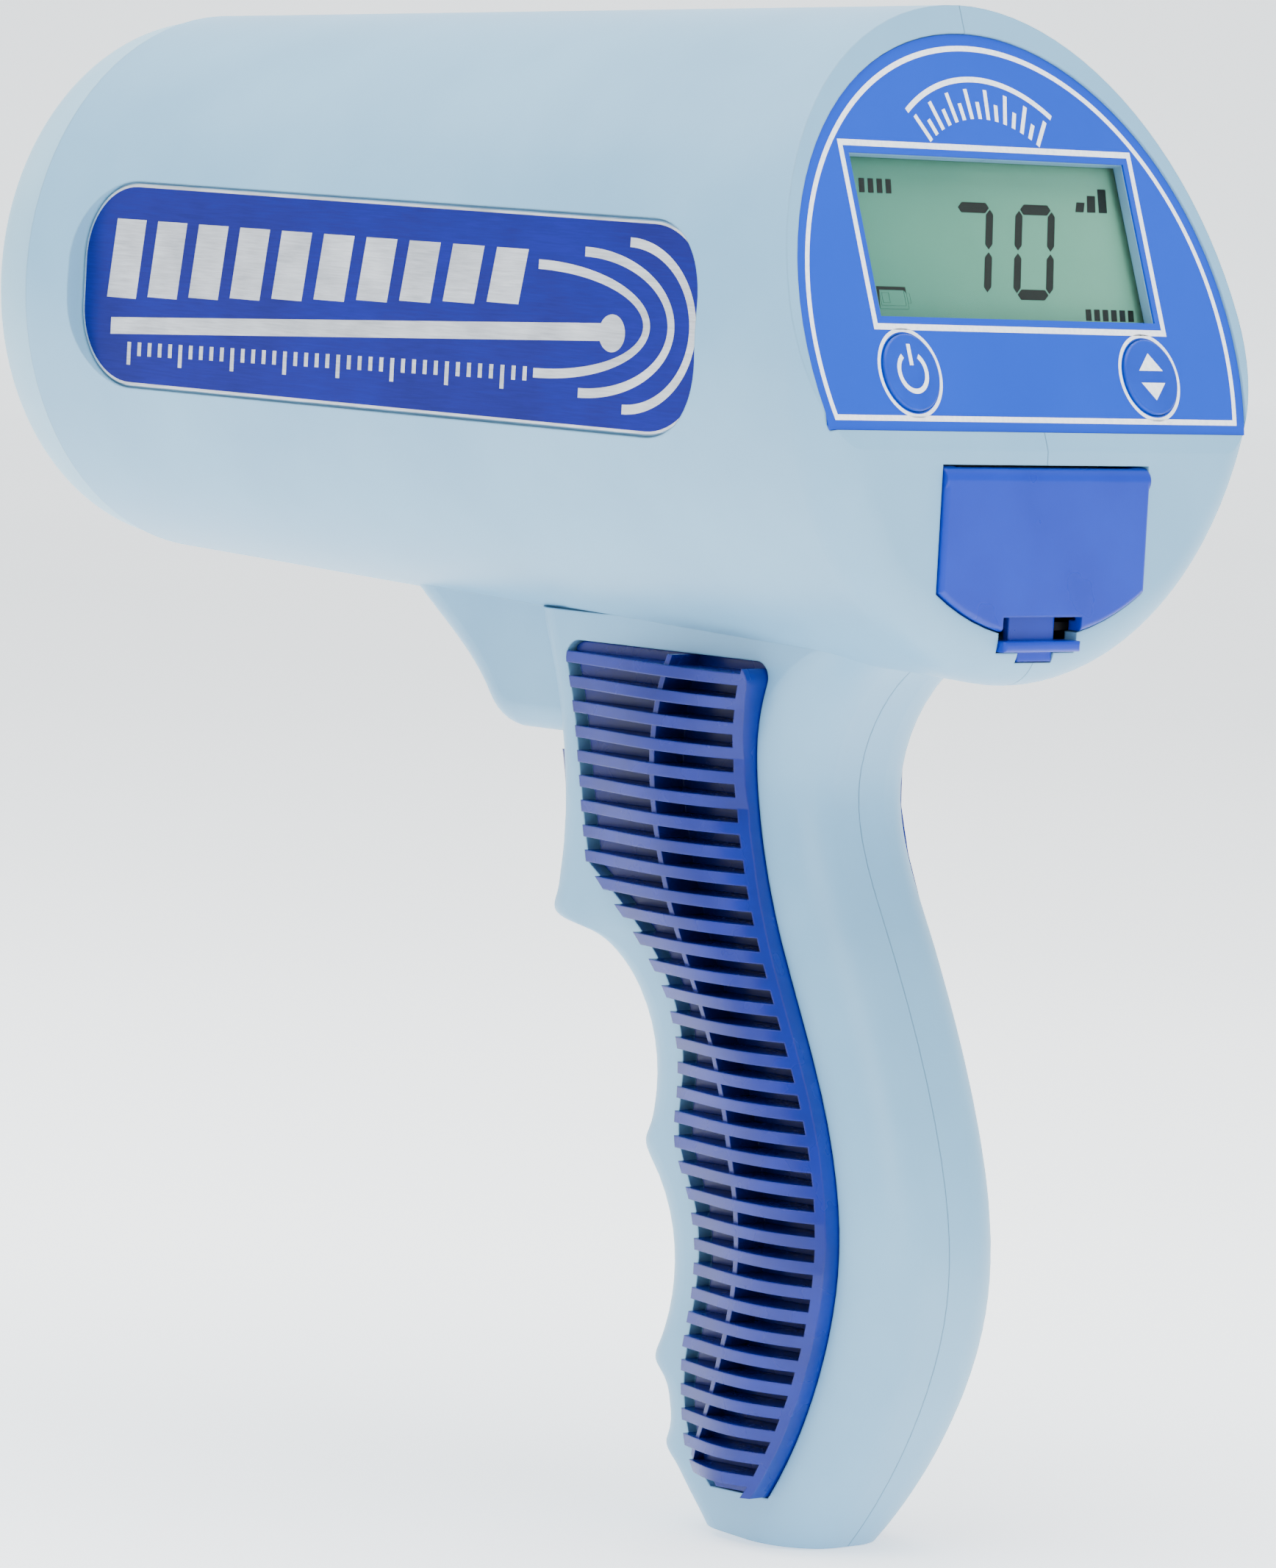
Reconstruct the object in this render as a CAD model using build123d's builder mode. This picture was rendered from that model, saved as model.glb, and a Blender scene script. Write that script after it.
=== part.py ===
"""Handheld speed radar gun, a two-cell sports model, as an assembly of separate pieces.

Frame: +Z up, +Y along the barrel to the antenna, -Y to the display, +X to the user's right.
The origin is the mouth of the tripod socket in the foot of the grip. Millimetres.
"""
import os
from math import atan2, cos, radians, sin

from build123d import *

os.makedirs("parts", exist_ok=True)

# Barrel
axis_z = 215.5            # height of the barrel's axis
rear_y = -43.5            # flat rear face
barrel_length = 210.5
rear_radius = 60.0
front_radius = 50.6
wall = 2.8
rear_round = 8.0
front_round = 2.2
seam_gap = 0.12           # hairline between the two housing halves
fit_gap = 0.15            # between pieces that seat on each other

# Display panel, tilted forward above a crease
crease_drop = 17.9        # crease below the barrel's axis
panel_tilt = 19.2
label_radius = 57.0
label_bottom = 3.5        # up the panel from the crease
label_depth = 0.8
label_thickness = 0.4
window_width = 72.6
window_low = 23.9
window_high = 53.3
window_thickness = 1.2
lcd_margin = 2.4
lcd_thickness = 2.2
key_radius = 6.9
key_x = 31.7
key_rise = 13.8
key_travel = 0.5
key_stem_radius = 2.0
switch_size = 6.0
switch_height = 3.4
display_board_drop = 9.4  # panel face to the board's front
board_thickness = 1.6

# Battery bay and its door
cell_radius = 13.1        # C cell
cell_length = 49.5
cell_spacing = 26.8
cell_drop = 16.9          # cell axis below the crease
bay_wall = 1.5
door_width = 54.6
door_top_drop = 2.5
door_side_height = 22.5
door_belly = 7.9          # how far the lower edge bows down
door_gap = 0.3
door_thickness = 3.0     # at its rim
door_skin = 1.6
door_proud = 1.0
hinge_radius = 2.4
hinge_pin_radius = 0.7
hinge_pin_length = 7.0
knuckle_width = 4.0
latch_width = 20.2
latch_notch_rise = 3.9    # notch in the door's lower edge
latch_arm_width = 12.0
latch_arm_thickness = 1.2
latch_arm_inset = 1.6     # rear face to the arm's outer side
latch_lip_proud = 1.5
latch_lip_height = 1.9
latch_hook_width = 9.0
latch_clearance = 0.2
door_seat_depth = 5.0     # rear face to the cells' rear ends

# Nameplates
plate_length = 167.0
plate_height = 37.4
plate_corner = 14.5
plate_middle_y = 71.0
plate_pocket = 4.4        # pocket floor below the barrel's surface
plate_thickness = 0.8
plate_back_wall = 2.4

# Grip
grip_top = 172.0
grip_half_back = 18.6
grip_half_front = 16.6
foot_half = 15.4
foot_taper_height = 46.0
back_round = 11.5
front_corner_round = 6.5
foot_tilt = 3.8
foot_low = -4.0           # the loft starts below the foot's tilted face
foot_block = 20.0         # solid height at the foot, round the socket
insert_floor = 13.6       # half-width at the pocket floor
insert_top = 156.6
insert_low = 8.6
insert_crown = 24.2       # half-width at the insert's fullest line
insert_crown_back = 19.0  # that line, forward of the grip's back
insert_front_margin = 8.0
insert_web = 1.6
rib_pitch = 4.43
rib_thickness = 2.1
spine_back = 20.4         # the spine, forward of the insert's rear edge
spine_thickness = 1.4
rib_border = 1.7
tooth_length = 1.4
grip_wall = 2.4

# Trigger guard and trigger
guard_half = 14.0
guard_round = 4.5
guard_low = 139.4
trigger_width = 12.0
trigger_gap = 0.45
trigger_pivot_y = 50.0
trigger_pivot_z = 131.5
trigger_pin_radius = 1.5
trigger_low = 110.2
trigger_high = 135.6
spring_radius = 2.4
spring_wire = 0.45
plunger_radius = 1.2

# Antenna and radar head
radome_length = 18.0
radome_wall = 2.4
radome_skirt = 9.0
radome_skirt_gap = 0.2
horn_mouth_y = 150.0
horn_length = 64.0
horn_mouth_radius = 40.0
horn_throat_radius = 10.0
horn_wall = 1.6
flange_size = 34.0
flange_thickness = 3.0
head_length = 30.0
head_size = 34.0

# Fasteners and socket
boss_radius = 4.2
screw_shank_radius = 1.5
screw_head_radius = 2.9
screw_head_height = 2.2
screw_seat = 7.0
screw_depth = 9.0
socket_radius = 2.55
socket_length = 13.0
bush_radius = 6.0

# Inner fittings
lug_radius = 3.6
lug_start = 6.5
trigger_pin_half = 10.5
trigger_drop = 2.2        # room below the trigger for its tip as it swings
display_posts = [(14.0, 61.5), (44.4, 12.5)]
display_post_radius = 2.6
display_screw_radius = 1.0
display_screw_grip = 4.0
board_drop = 13.5         # main board below the barrel's axis
board_half_width = 35.0
board_span = (-2.0, 48.0)
rail_height = 2.0
rail_start = 32.5
rail_span = (2.0, 44.0)
bulkhead_span = (40.0, 41.8)
bulkhead_low = 107.0
bulkhead_high = 128.0
latch_drop = 10.3         # latch notch's floor below the door's lower corners
catch_depth = 1.8         # the narrower catch notch below it
cradle_spans = [(-22.0, -20.0), (6.0, 8.0)]
cradle_top = 185.0
head_cradle_span = (66.0, 69.0)

key_proud = 0.3
key_cap_thickness = 1.2
key_stem_length = 5.0     # panel face to the stem's end
switch_button_radius = 1.6
bezel_rim = 3.0
lcd_drop = 4.4            # panel face to the glass's front
zebra_width = 2.4
contact_thickness = 0.5
contact_width = 36.0
contact_height = 6.0
contact_bump_radius = 3.2
cell_nub_radius = 3.3
cell_nub_length = 2.0
cell_gap = 0.3            # between a cell and the door's contacts
trigger_lug_radius = 3.4
trigger_pad_y = 52.2      # the pad that presses the switch's plunger
plunger_z = 118.0
plunger_length = 7.0
plunger_gap = 0.2
switch_half = 3.2
switch_depth = 6.2
spring_z = 110.9
antenna_screw_pitch = 25.0
tuner_radius = 2.5
tuner_back = 8.0

crease_z = axis_z - crease_drop
front_y = rear_y + barrel_length
barrel_axis = Axis((0, 0, axis_z), (0, 1, 0))
panel = Plane(
    origin=(0, rear_y, crease_z),
    x_dir=(1, 0, 0),
    z_dir=(0, -cos(radians(panel_tilt)), sin(radians(panel_tilt))),
)
panel_centre = crease_drop / cos(radians(panel_tilt))
rear_face = Plane(origin=(0, rear_y, crease_z), x_dir=(1, 0, 0), z_dir=(0, -1, 0))
foot = Plane(
    origin=(0, 0, 0),
    x_dir=(1, 0, 0),
    z_dir=(0, sin(radians(foot_tilt)), -cos(radians(foot_tilt))),
)
cone_slope = (rear_radius - front_radius) / barrel_length
hinge_y = rear_y - door_proud + hinge_radius
knuckle_start = door_width / 2 - knuckle_width
hinge_z = crease_z - door_top_drop - door_gap - hinge_radius
cell_z = crease_z - cell_drop
cells_rear_y = rear_y + door_seat_depth
board_z = axis_z - board_drop
latch_low = door_top_drop + door_side_height + latch_drop
catch_low = latch_low + catch_depth
sleeve_rear_y = hinge_y + hinge_radius + 0.5
sleeve_front_y = cells_rear_y + cell_length + 6.0
sleeve_width = cell_spacing + 2 * (cell_radius + 0.3)
sleeve_height = 2 * (cell_radius + 0.3)

# housing screws as (y, z); the three in the grip sit under the grip insert
barrel_screws = [(22.0, axis_z + 46.0), (112.0, axis_z + 43.0), (112.0, axis_z - 43.0)]
grip_screws = [(62.0, 150.5), (-2.0, 112.0), (-6.0, 44.0)]


def save(builder, name):
    """Label a finished piece and write its STEP file."""
    builder.part.label = name
    export_step(builder.part, f"parts/{name}.step")
    print(f"{name}: {len(builder.part.solids())} solid(s), {builder.part.volume / 1000:.2f} cm3")


def barrel_radius(y):
    return rear_radius - cone_slope * (y - rear_y)


# Outlines shared by the housing and what fits it
def grip_side(inset=0.0):
    """Side outline of the grip as (y, z) in a local sketch, drawn in by inset."""
    with BuildSketch(Plane.YZ) as side:
        with BuildLine():
            back = Spline(
                (-8.4, foot_low), (-26.2, 25.0), (-31.5, 47.6), (-26.7, 75.8),
                (-12.3, 109.6), (-3.6, 136.0), (-9.5, 151.5), (-26.0, 162.0),
            )
            Polyline(back @ 1, (-30.0, grip_top), (68.0, grip_top), (63.4, 158.0))
            trigger_wall = Spline((63.4, 158.0), (57.6, 138.0), (56.2, 124.0), (57.4, 109.5))
            nub = ThreePointArc(trigger_wall @ 1, (57.2, 106.4), (54.5, 105.2))
            middle = Spline(nub @ 1, (41.5, 101.6), (32.0, 90.0), (29.7, 78.5), (32.2, 67.4))
            ring = ThreePointArc(middle @ 1, (23.0, 48.5), (27.3, 29.7))
            little = ThreePointArc(ring @ 1, (22.9, 21.5), (24.0, 14.2))
            Polyline(little @ 1, (10.6, foot_low), back @ 0)
        make_face()
        if inset:
            offset(amount=-inset, mode=Mode.REPLACE)
    return side.sketch_local.face()


def span_at(face, z):
    """Rear and front end of a side outline at height z."""
    cuts = face.intersect(Edge.make_line((-90, z), (140, z)))
    box = Compound(children=list(cuts)).bounding_box()
    return box.min.X, box.max.X


def grip_half(z, half):
    """Half-width at height z: the sides draw in to the foot."""
    if z >= foot_taper_height:
        return half
    share = (foot_taper_height - z) / foot_taper_height
    return half - (grip_half_back - foot_half) * share**2


def grip_solid(inset, low, high, step):
    """Grip lofted through rounded sections that follow its side outline."""
    side = grip_side(inset)
    count = round((high - low) / step)
    with BuildPart() as grip:
        for i in range(count + 1):
            z = low + (high - low) * i / count
            back, front = span_at(side, z)
            rear_half = grip_half(z, grip_half_back) - inset
            front_half = grip_half(z, grip_half_front) - inset
            with BuildSketch(Plane.XY.offset(z)) as section:
                Polygon(
                    (-rear_half, back), (rear_half, back), (front_half, front), (-front_half, front),
                    align=None,
                )
                fillet(section.vertices().group_by(Axis.Y)[0], max(back_round - inset, 3.0))
                fillet(section.vertices().group_by(Axis.Y)[-1], max(front_corner_round - inset, 2.0))
        loft()
    return grip.part


def grip_insert_face(margin):
    """Side outline of the grip insert, drawn in by margin and cut level at both ends."""
    top, low = insert_top - margin, insert_low + margin
    rear = [(5.2, 140.0), (-2.6, 109.5), (-16.6, 77.0), (-21.2, 53.0), (-16.0, 27.0)]
    brow = [(50.6, 141.0), (47.2, 124.1)]
    fingers = [
        (35.8, 110.0), (25.4, 99.6), (19.4, 82.0), (19.6, 71.1), (14.6, 58.5), (13.2, 45.0), (15.2, 30.6),
    ]
    with BuildSketch(Plane.YZ) as outline:
        with BuildLine():
            back = Spline((2.2 + margin, top), *[(y + margin, z) for y, z in rear], (-5.4 + margin, low))
            edge = Spline((55.4 - margin, top), *[(y - margin, z) for y, z in brow], (45.4 - margin, 116.9))
            tips = Spline(edge @ 1, *[(y - margin, z) for y, z in fingers], (9.0 - margin, low))
            Line(back @ 0, edge @ 0)
            Line(tips @ 1, back @ 1)
        make_face()
    return outline.sketch_local.face()


# Housing
def barrel_profile(inset):
    """Half section of the barrel, rounded at the rear rim."""
    with BuildSketch(Plane.YZ) as profile:
        with BuildLine():
            Polyline(
                (rear_y + inset, axis_z), (rear_y + inset, axis_z + rear_radius - inset),
                (front_y, axis_z + front_radius - inset), (front_y, axis_z), close=True,
            )
        make_face()
        top = profile.vertices().group_by(Axis.Y)[-2:]
        rims = (top[0] + top[1]).sort_by(Axis.X)
        fillet(rims[0], rear_round - inset)
        if not inset:
            fillet(rims[1], front_round)
    return profile.sketch


def above_panel(drop):
    """Everything behind the display panel's plane, a wedge to cut away."""
    with BuildPart() as wedge:
        with BuildSketch(panel.offset(-drop)):
            with Locations((0, 60)):
                Rectangle(200, 120)
        extrude(amount=60)
    return wedge.part


def barrel_solid(inset):
    with BuildPart() as barrel:
        add(barrel_profile(inset))
        revolve(axis=barrel_axis)
        add(above_panel(inset), mode=Mode.SUBTRACT)
    return barrel.part


def guard_solid(inset):
    """Web ahead of the grip that guards the trigger from above."""
    with BuildPart() as guard:
        with BuildSketch(Plane.YZ):
            with BuildLine():
                nose = Spline((104.0, 168.0), (91.8, 157.4), (82.6, 149.4), (78.2, 144.0))
                tip = TangentArc(nose @ 1, (70.5, guard_low), tangent=nose % 1)
                Polyline(tip @ 1, (30.0, guard_low), (30.0, 172.0), (104.0, 172.0), nose @ 0)
            make_face()
            if inset:
                offset(amount=-inset)
        extrude(amount=guard_half - inset, both=True)
        if not inset:
            low = guard.edges().filter_by(Axis.Y).group_by(Axis.Z)[0]
            curved = guard.edges().filter_by(GeomType.LINE, reverse=True)
            fillet(low + curved, guard_round)
    return guard.part


def outer_body():
    """Outside of the two housing halves together, before any opening is cut."""
    with BuildPart() as body:
        add(barrel_solid(0))
        add(grip_solid(0, foot_low, grip_top - 10, 3.0))
        add(guard_solid(0))
        with BuildSketch(foot):
            Rectangle(120, 120)
        extrude(amount=30, mode=Mode.SUBTRACT)
    return body.part


def plate_plane(side):
    """Plane of a nameplate pocket's floor, square to the barrel's tapered side."""
    slope = atan2(cone_slope, 1)
    reach = barrel_radius(plate_middle_y) - plate_pocket
    return Plane(
        origin=(side * reach, plate_middle_y, axis_z),
        x_dir=(-side * sin(slope), cos(slope), 0),
        z_dir=(side * cos(slope), sin(slope), 0),
    )


def grip_cavity():
    """Hollow of the grip, flat-sided behind the grip inserts."""
    with BuildPart() as hollow:
        add(grip_solid(grip_wall + 0.6, foot_block, grip_top - 12, 6.0))
        Box(2 * (insert_floor - grip_wall), 300, 400, mode=Mode.INTERSECT)
    return hollow.part


def cavity():
    """Hollow inside the housing, with flats behind the nameplates and a solid foot."""
    with BuildPart() as hollow:
        add(barrel_solid(wall))
        for side in (-1, 1):
            with BuildSketch(plate_plane(side).offset(-plate_back_wall)):
                Rectangle(plate_length + 6, 200)
            extrude(amount=40, mode=Mode.SUBTRACT)
        add(grip_cavity())
    return hollow.part


def label_outline(radius, low):
    """Round-topped outline of the display label, in the panel's own plane."""
    with BuildSketch() as outline:
        with Locations((0, panel_centre)):
            Circle(radius)
        with Locations((0, low)):
            Rectangle(
                300, 300, align=(Align.CENTER, Align.MIN), mode=Mode.INTERSECT,
            )
    return outline.sketch_local


def door_outline(grow):
    """Battery door opening in the rear face, grown or shrunk evenly all round."""
    half = door_width / 2 + grow
    top = -door_top_drop + grow
    corner = -door_top_drop - door_side_height - grow
    belly = corner - door_belly
    with BuildSketch() as outline:
        with BuildLine():
            Polyline((-half, corner), (-half, top), (half, top), (half, corner))
            ThreePointArc((half, corner), (0, belly), (-half, corner))
        make_face()
    return outline.sketch_local


def plate_outline(grow):
    with BuildSketch() as outline:
        RectangleRounded(plate_length + 2 * grow, plate_height + 2 * grow, plate_corner + grow)
    return outline.sketch_local


def insert_prism(side, margin, floor):
    """Prism of the grip insert's outline on one side, from a half-width outwards."""
    with BuildPart() as prism:
        with BuildSketch(Plane.YZ.offset(side * floor)):
            add(grip_insert_face(margin))
        extrude(amount=side * 30)
        fillet(prism.edges().filter_by(Axis.X).group_by(Axis.Z)[-1], 3.0)
    return prism.part


def cylinder_x(y, z, radius, start, end):
    """Solid round bar along X between two X positions."""
    with BuildPart() as bar:
        with BuildSketch(Plane.YZ.offset(start)):
            with Locations((y, z)):
                Circle(radius)
        extrude(amount=end - start)
    return bar.part


def block(x_span, y_span, z_span):
    """Solid box between pairs of X, Y and Z positions."""
    spans = (x_span, y_span, z_span)
    with BuildPart() as box:
        with Locations(tuple((low + high) / 2 for low, high in spans)):
            Box(*(high - low for low, high in spans))
    return box.part


def bosses(side):
    """Screw bosses, display posts, board rails and trigger lugs of one half."""
    far = side * 60
    with BuildPart() as posts:
        for y, z in barrel_screws + grip_screws:
            add(cylinder_x(y, z, boss_radius, 0, far))
        add(cylinder_x(trigger_pivot_y, trigger_pivot_z, lug_radius, side * lug_start, far))
        with BuildSketch(panel.offset(-wall)):
            for x, rise in display_posts:
                with Locations((side * x, rise)):
                    Circle(display_post_radius)
        extrude(amount=wall - display_board_drop)
        for low in (board_z - fit_gap - rail_height, board_z + board_thickness + fit_gap):
            span = sorted((side * rail_start, far))
            add(block(span, rail_span, (low, low + rail_height)))
        across = sorted((0, far))
        add(block(across, bulkhead_span, (bulkhead_low, bulkhead_high)))
        for span in cradle_spans:
            add(block(across, span, (axis_z - rear_radius, cradle_top)))
        half = head_size / 2 + fit_gap
        add(block(across, head_cradle_span, (axis_z - rear_radius, axis_z - half)))
        add(block(across, head_cradle_span, (axis_z + half, axis_z + rear_radius)))
    return posts.part


def panel_cuts():
    """Label recess, window and key holes in the display panel."""
    with BuildPart() as cuts:
        with BuildSketch(panel):
            add(label_outline(label_radius + fit_gap, label_bottom - fit_gap))
        extrude(amount=-label_depth)
        with BuildSketch(panel):
            with Locations((0, (window_low + window_high) / 2)):
                Rectangle(window_width, window_high - window_low)
            with Locations((-key_x, key_rise), (key_x, key_rise)):
                Circle(key_stem_radius + 0.3)
        extrude(amount=-wall - 2)
        with BuildSketch(panel):
            with Locations((-key_x, key_rise), (key_x, key_rise)):
                Circle(key_radius + 0.4)
        extrude(amount=-label_depth - key_travel - 0.2)
    return cuts.part


def door_cuts():
    """Battery door opening, its latch notch, catch notch and hinge pin holes."""
    with BuildPart() as cuts:
        with BuildSketch(rear_face):
            add(door_outline(0))
            with Locations((0, -latch_low)):
                Rectangle(latch_width + 0.6, 8, align=(Align.CENTER, Align.MIN))
        extrude(amount=-wall - 1)
        with BuildSketch(rear_face):
            with Locations((0, -catch_low)):
                Rectangle(latch_hook_width + 0.6, 4, align=(Align.CENTER, Align.MIN))
        extrude(amount=-wall - 1)
        for side in (-1, 1):
            end = knuckle_start + hinge_pin_length
            add(cylinder_x(hinge_y, hinge_z, hinge_pin_radius + 0.05, side * 20, side * end))
    return cuts.part


def trigger_slot():
    half = trigger_width / 2 + trigger_gap
    low, high = trigger_low - trigger_drop, trigger_high + trigger_gap + 0.2
    return block((-half, half), (trigger_pivot_y - 8, 80), (low, high))


def socket_pocket(radius, depth):
    """Round pocket in the foot, square to its tilted face."""
    with BuildPart() as pocket:
        with BuildSketch(foot.offset(1)):
            Circle(radius)
        extrude(amount=-depth - 1)
    return pocket.part


def side_cuts(side):
    """Pockets and holes of one housing half."""
    with BuildPart() as cuts:
        with BuildSketch(plate_plane(side)):
            add(plate_outline(0.35))
        extrude(amount=20)
        add(insert_prism(side, -0.25, insert_floor))
        for y, z in barrel_screws + grip_screws:
            if side < 0:
                add(cylinder_x(y, z, screw_shank_radius + 0.02, 0, -screw_depth - 0.5))
            else:
                add(cylinder_x(y, z, screw_shank_radius + 0.2, 0, screw_seat + 1))
                add(cylinder_x(y, z, screw_head_radius + 0.4, screw_seat, 60))
        pivot = side * (lug_start - 1)
        end = side * (trigger_pin_half + 0.2)
        add(cylinder_x(trigger_pivot_y, trigger_pivot_z, trigger_pin_radius + 0.02, pivot, end))
        with BuildSketch(panel.offset(-display_board_drop)):
            for x, rise in display_posts:
                with Locations((side * x, rise)):
                    Circle(display_screw_radius + 0.02)
        extrude(amount=display_screw_grip + 0.4)
    return cuts.part


def inner_ribs(solid, side):
    """The bosses and ribs of one half, trimmed to the inside of the housing."""
    with BuildPart() as ribs:
        add(bosses(side))
        add(solid, mode=Mode.INTERSECT)
    return ribs.part


def sleeve_plane(y):
    """Plane square to the barrel at y, centred between the two cells."""
    return Plane(origin=(0, y, cell_z), x_dir=(-1, 0, 0), z_dir=(0, 1, 0))


def battery_clearance():
    """Room that the battery sleeve needs inside the housing."""
    with BuildPart() as room:
        with BuildSketch(sleeve_plane(sleeve_rear_y - 0.2)):
            SlotOverall(sleeve_width + 2 * bay_wall + 0.6, sleeve_height + 2 * bay_wall + 0.6)
        extrude(amount=sleeve_front_y + bay_wall - sleeve_rear_y + 0.6)
    return room.part


def housing_half(solid, hollow, side):
    """One half of the housing, with its bosses and openings, cut back from the seam."""
    with BuildPart() as half:
        add(solid)
        add(hollow, mode=Mode.SUBTRACT)
        add(inner_ribs(solid, side))
        add(battery_clearance(), mode=Mode.SUBTRACT)
        for cut in (panel_cuts(), door_cuts(), trigger_slot(), side_cuts(side)):
            add(cut, mode=Mode.SUBTRACT)
        add(socket_pocket(bush_radius + 0.02, socket_length + 0.4), mode=Mode.SUBTRACT)
        with Locations((side * (seam_gap / 2 + 100), 60, 140)):
            Box(200, 400, 400, mode=Mode.INTERSECT)
    return half.part


# Pieces of the housing
body = outer_body()
hollow = cavity()

with BuildPart() as left_housing:
    add(housing_half(body, hollow, -1))
save(left_housing, "left_housing")

with BuildPart() as right_housing:
    add(housing_half(body, hollow, 1))
save(right_housing, "right_housing")

with BuildPart() as housing_screws:
    for y, z in barrel_screws + grip_screws:
        add(cylinder_x(y, z, screw_shank_radius, -screw_depth, screw_seat))
        add(cylinder_x(y, z, screw_head_radius, screw_seat, screw_seat + screw_head_height))
        with BuildSketch(Plane.YZ.offset(screw_seat + screw_head_height)):
            with Locations((y, z)):
                Rectangle(3.2, 0.8)
                Rectangle(0.8, 3.2)
        extrude(amount=-1.2, mode=Mode.SUBTRACT)
save(housing_screws, "housing_screws")

with BuildPart() as tripod_bush:
    with BuildSketch(foot):
        Circle(bush_radius)
        Circle(socket_radius, mode=Mode.SUBTRACT)
    extrude(amount=-socket_length)
    with BuildSketch(foot.offset(-socket_length / 2 + 1)):
        Circle(bush_radius)
        Circle(bush_radius - 0.7, mode=Mode.SUBTRACT)
    extrude(amount=-2, mode=Mode.SUBTRACT)
save(tripod_bush, "tripod_bush")


def nameplate(side):
    """Thin plate that lies on the floor of its pocket in the barrel's side."""
    with BuildPart() as plate:
        with BuildSketch(plate_plane(side)):
            add(plate_outline(0))
        extrude(amount=plate_thickness)
        chamfer(plate.faces().sort_by(Axis.X)[-1 if side > 0 else 0].edges(), 0.25)
    return plate.part


with BuildPart() as left_nameplate:
    add(nameplate(-1))
save(left_nameplate, "left_nameplate")

with BuildPart() as right_nameplate:
    add(nameplate(1))
save(right_nameplate, "right_nameplate")


# Grip inserts
def insert_body(drop):
    """Bulging outside of a grip insert on the right, lofted upwards; drop lowers its face."""
    side = grip_side()
    levels = [insert_low - 2 + 2 * rib_pitch * i for i in range(18)]
    with BuildPart() as bulge:
        for z in levels:
            back, front = span_at(side, z)
            taper = grip_half_back - grip_half(z, grip_half_back)
            crown = insert_crown - taper - drop
            middle = (back + insert_crown_back + front - insert_front_margin) / 2
            nose = front - insert_front_margin + 3
            with BuildSketch(Plane.XY.offset(z)):
                with BuildLine():
                    face = Spline(
                        (18.2 - taper - drop, back + 6.0), (crown - 1.6, back + 12.2),
                        (crown, back + insert_crown_back), (crown - 1.9, middle),
                        (17.0 - taper - drop, nose),
                    )
                    Polyline(face @ 1, (insert_floor, nose), (insert_floor, back + 6.0), face @ 0)
                make_face()
        loft(ruled=True)
    return bulge.part


def shifted_outline(margin, forward):
    """Outline of the grip insert, drawn in by margin and moved forward, extruded to one side."""
    with BuildPart() as prism:
        with BuildSketch(Plane.YZ.offset(insert_floor)):
            with Locations((forward, 0)):
                add(grip_insert_face(margin))
        extrude(amount=30)
    return prism.part


def rib_slabs():
    """Level slabs, one for each rib."""
    count = int((insert_top - insert_low) / rib_pitch)
    with BuildPart() as slabs:
        with Locations([(30, 20, insert_low + rib_pitch * (i + 0.75)) for i in range(count)]):
            Box(2 * (30 - insert_floor), 200, rib_thickness)
    return slabs.part


def grip_insert():
    """Ribbed insert for the right side: web, rear border, spine and ribs."""
    with BuildPart() as ribs:
        add(insert_body(0))
        add(insert_prism(1, 0, insert_floor), mode=Mode.INTERSECT)
    with BuildPart() as base:
        add(ribs.part)
        add(shifted_outline(0, -tooth_length), mode=Mode.INTERSECT)
        with Locations((insert_floor + insert_web / 2, 0, 80)):
            Box(insert_web, 300, 300, mode=Mode.INTERSECT)
    with BuildPart() as border:
        add(ribs.part)
        add(shifted_outline(0, rib_border), mode=Mode.SUBTRACT)
    with BuildPart() as spine:
        add(insert_body(1.0))
        add(insert_prism(1, 0, insert_floor), mode=Mode.INTERSECT)
        add(shifted_outline(0, spine_back), mode=Mode.INTERSECT)
        add(shifted_outline(0, spine_back + spine_thickness), mode=Mode.SUBTRACT)
    with BuildPart() as insert:
        add(ribs.part)
        add(rib_slabs(), mode=Mode.INTERSECT)
        add(base.part)
        add(border.part)
        add(spine.part)
    return insert.part


right_insert = grip_insert()

with BuildPart() as right_grip_insert:
    add(right_insert)
save(right_grip_insert, "right_grip_insert")

with BuildPart() as left_grip_insert:
    add(mirror(right_insert, about=Plane.YZ, mode=Mode.PRIVATE))
save(left_grip_insert, "left_grip_insert")


# Display
def on_panel(drop):
    """The display panel's plane, moved inwards."""
    return panel.offset(-drop)


window_middle = (window_low + window_high) / 2
window_height = window_high - window_low
keys = {"power": -key_x, "select": key_x}

with BuildPart() as control_overlay:
    with BuildSketch(on_panel(label_depth)):
        add(label_outline(label_radius, label_bottom))
        with Locations((0, window_middle)):
            Rectangle(window_width, window_height, mode=Mode.SUBTRACT)
        with Locations(*[(x, key_rise) for x in keys.values()]):
            Circle(key_radius + fit_gap, mode=Mode.SUBTRACT)
    extrude(amount=label_thickness)
save(control_overlay, "control_overlay")

with BuildPart() as display_window:
    with BuildSketch(on_panel(wall)):
        with Locations((0, window_middle)):
            Rectangle(window_width - 2 * fit_gap, window_height - 2 * fit_gap)
    extrude(amount=wall - label_depth)
    with BuildSketch(on_panel(wall)):
        with Locations((0, window_middle)):
            Rectangle(window_width + 3, window_height + 3)
    extrude(amount=-window_thickness)
save(display_window, "display_window")

glass_width = window_width + 2 * lcd_margin - 1
glass_height = window_height + 2 * lcd_margin - 1

with BuildPart() as lcd_bezel:
    with BuildSketch(on_panel(wall + window_thickness)):
        with Locations((0, window_middle)):
            Rectangle(window_width + 2 * bezel_rim, window_height + 2 * bezel_rim)
            Rectangle(glass_width + 0.2, glass_height + 0.2, mode=Mode.SUBTRACT)
    extrude(amount=wall + window_thickness - display_board_drop)
save(lcd_bezel, "lcd_bezel")

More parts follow.
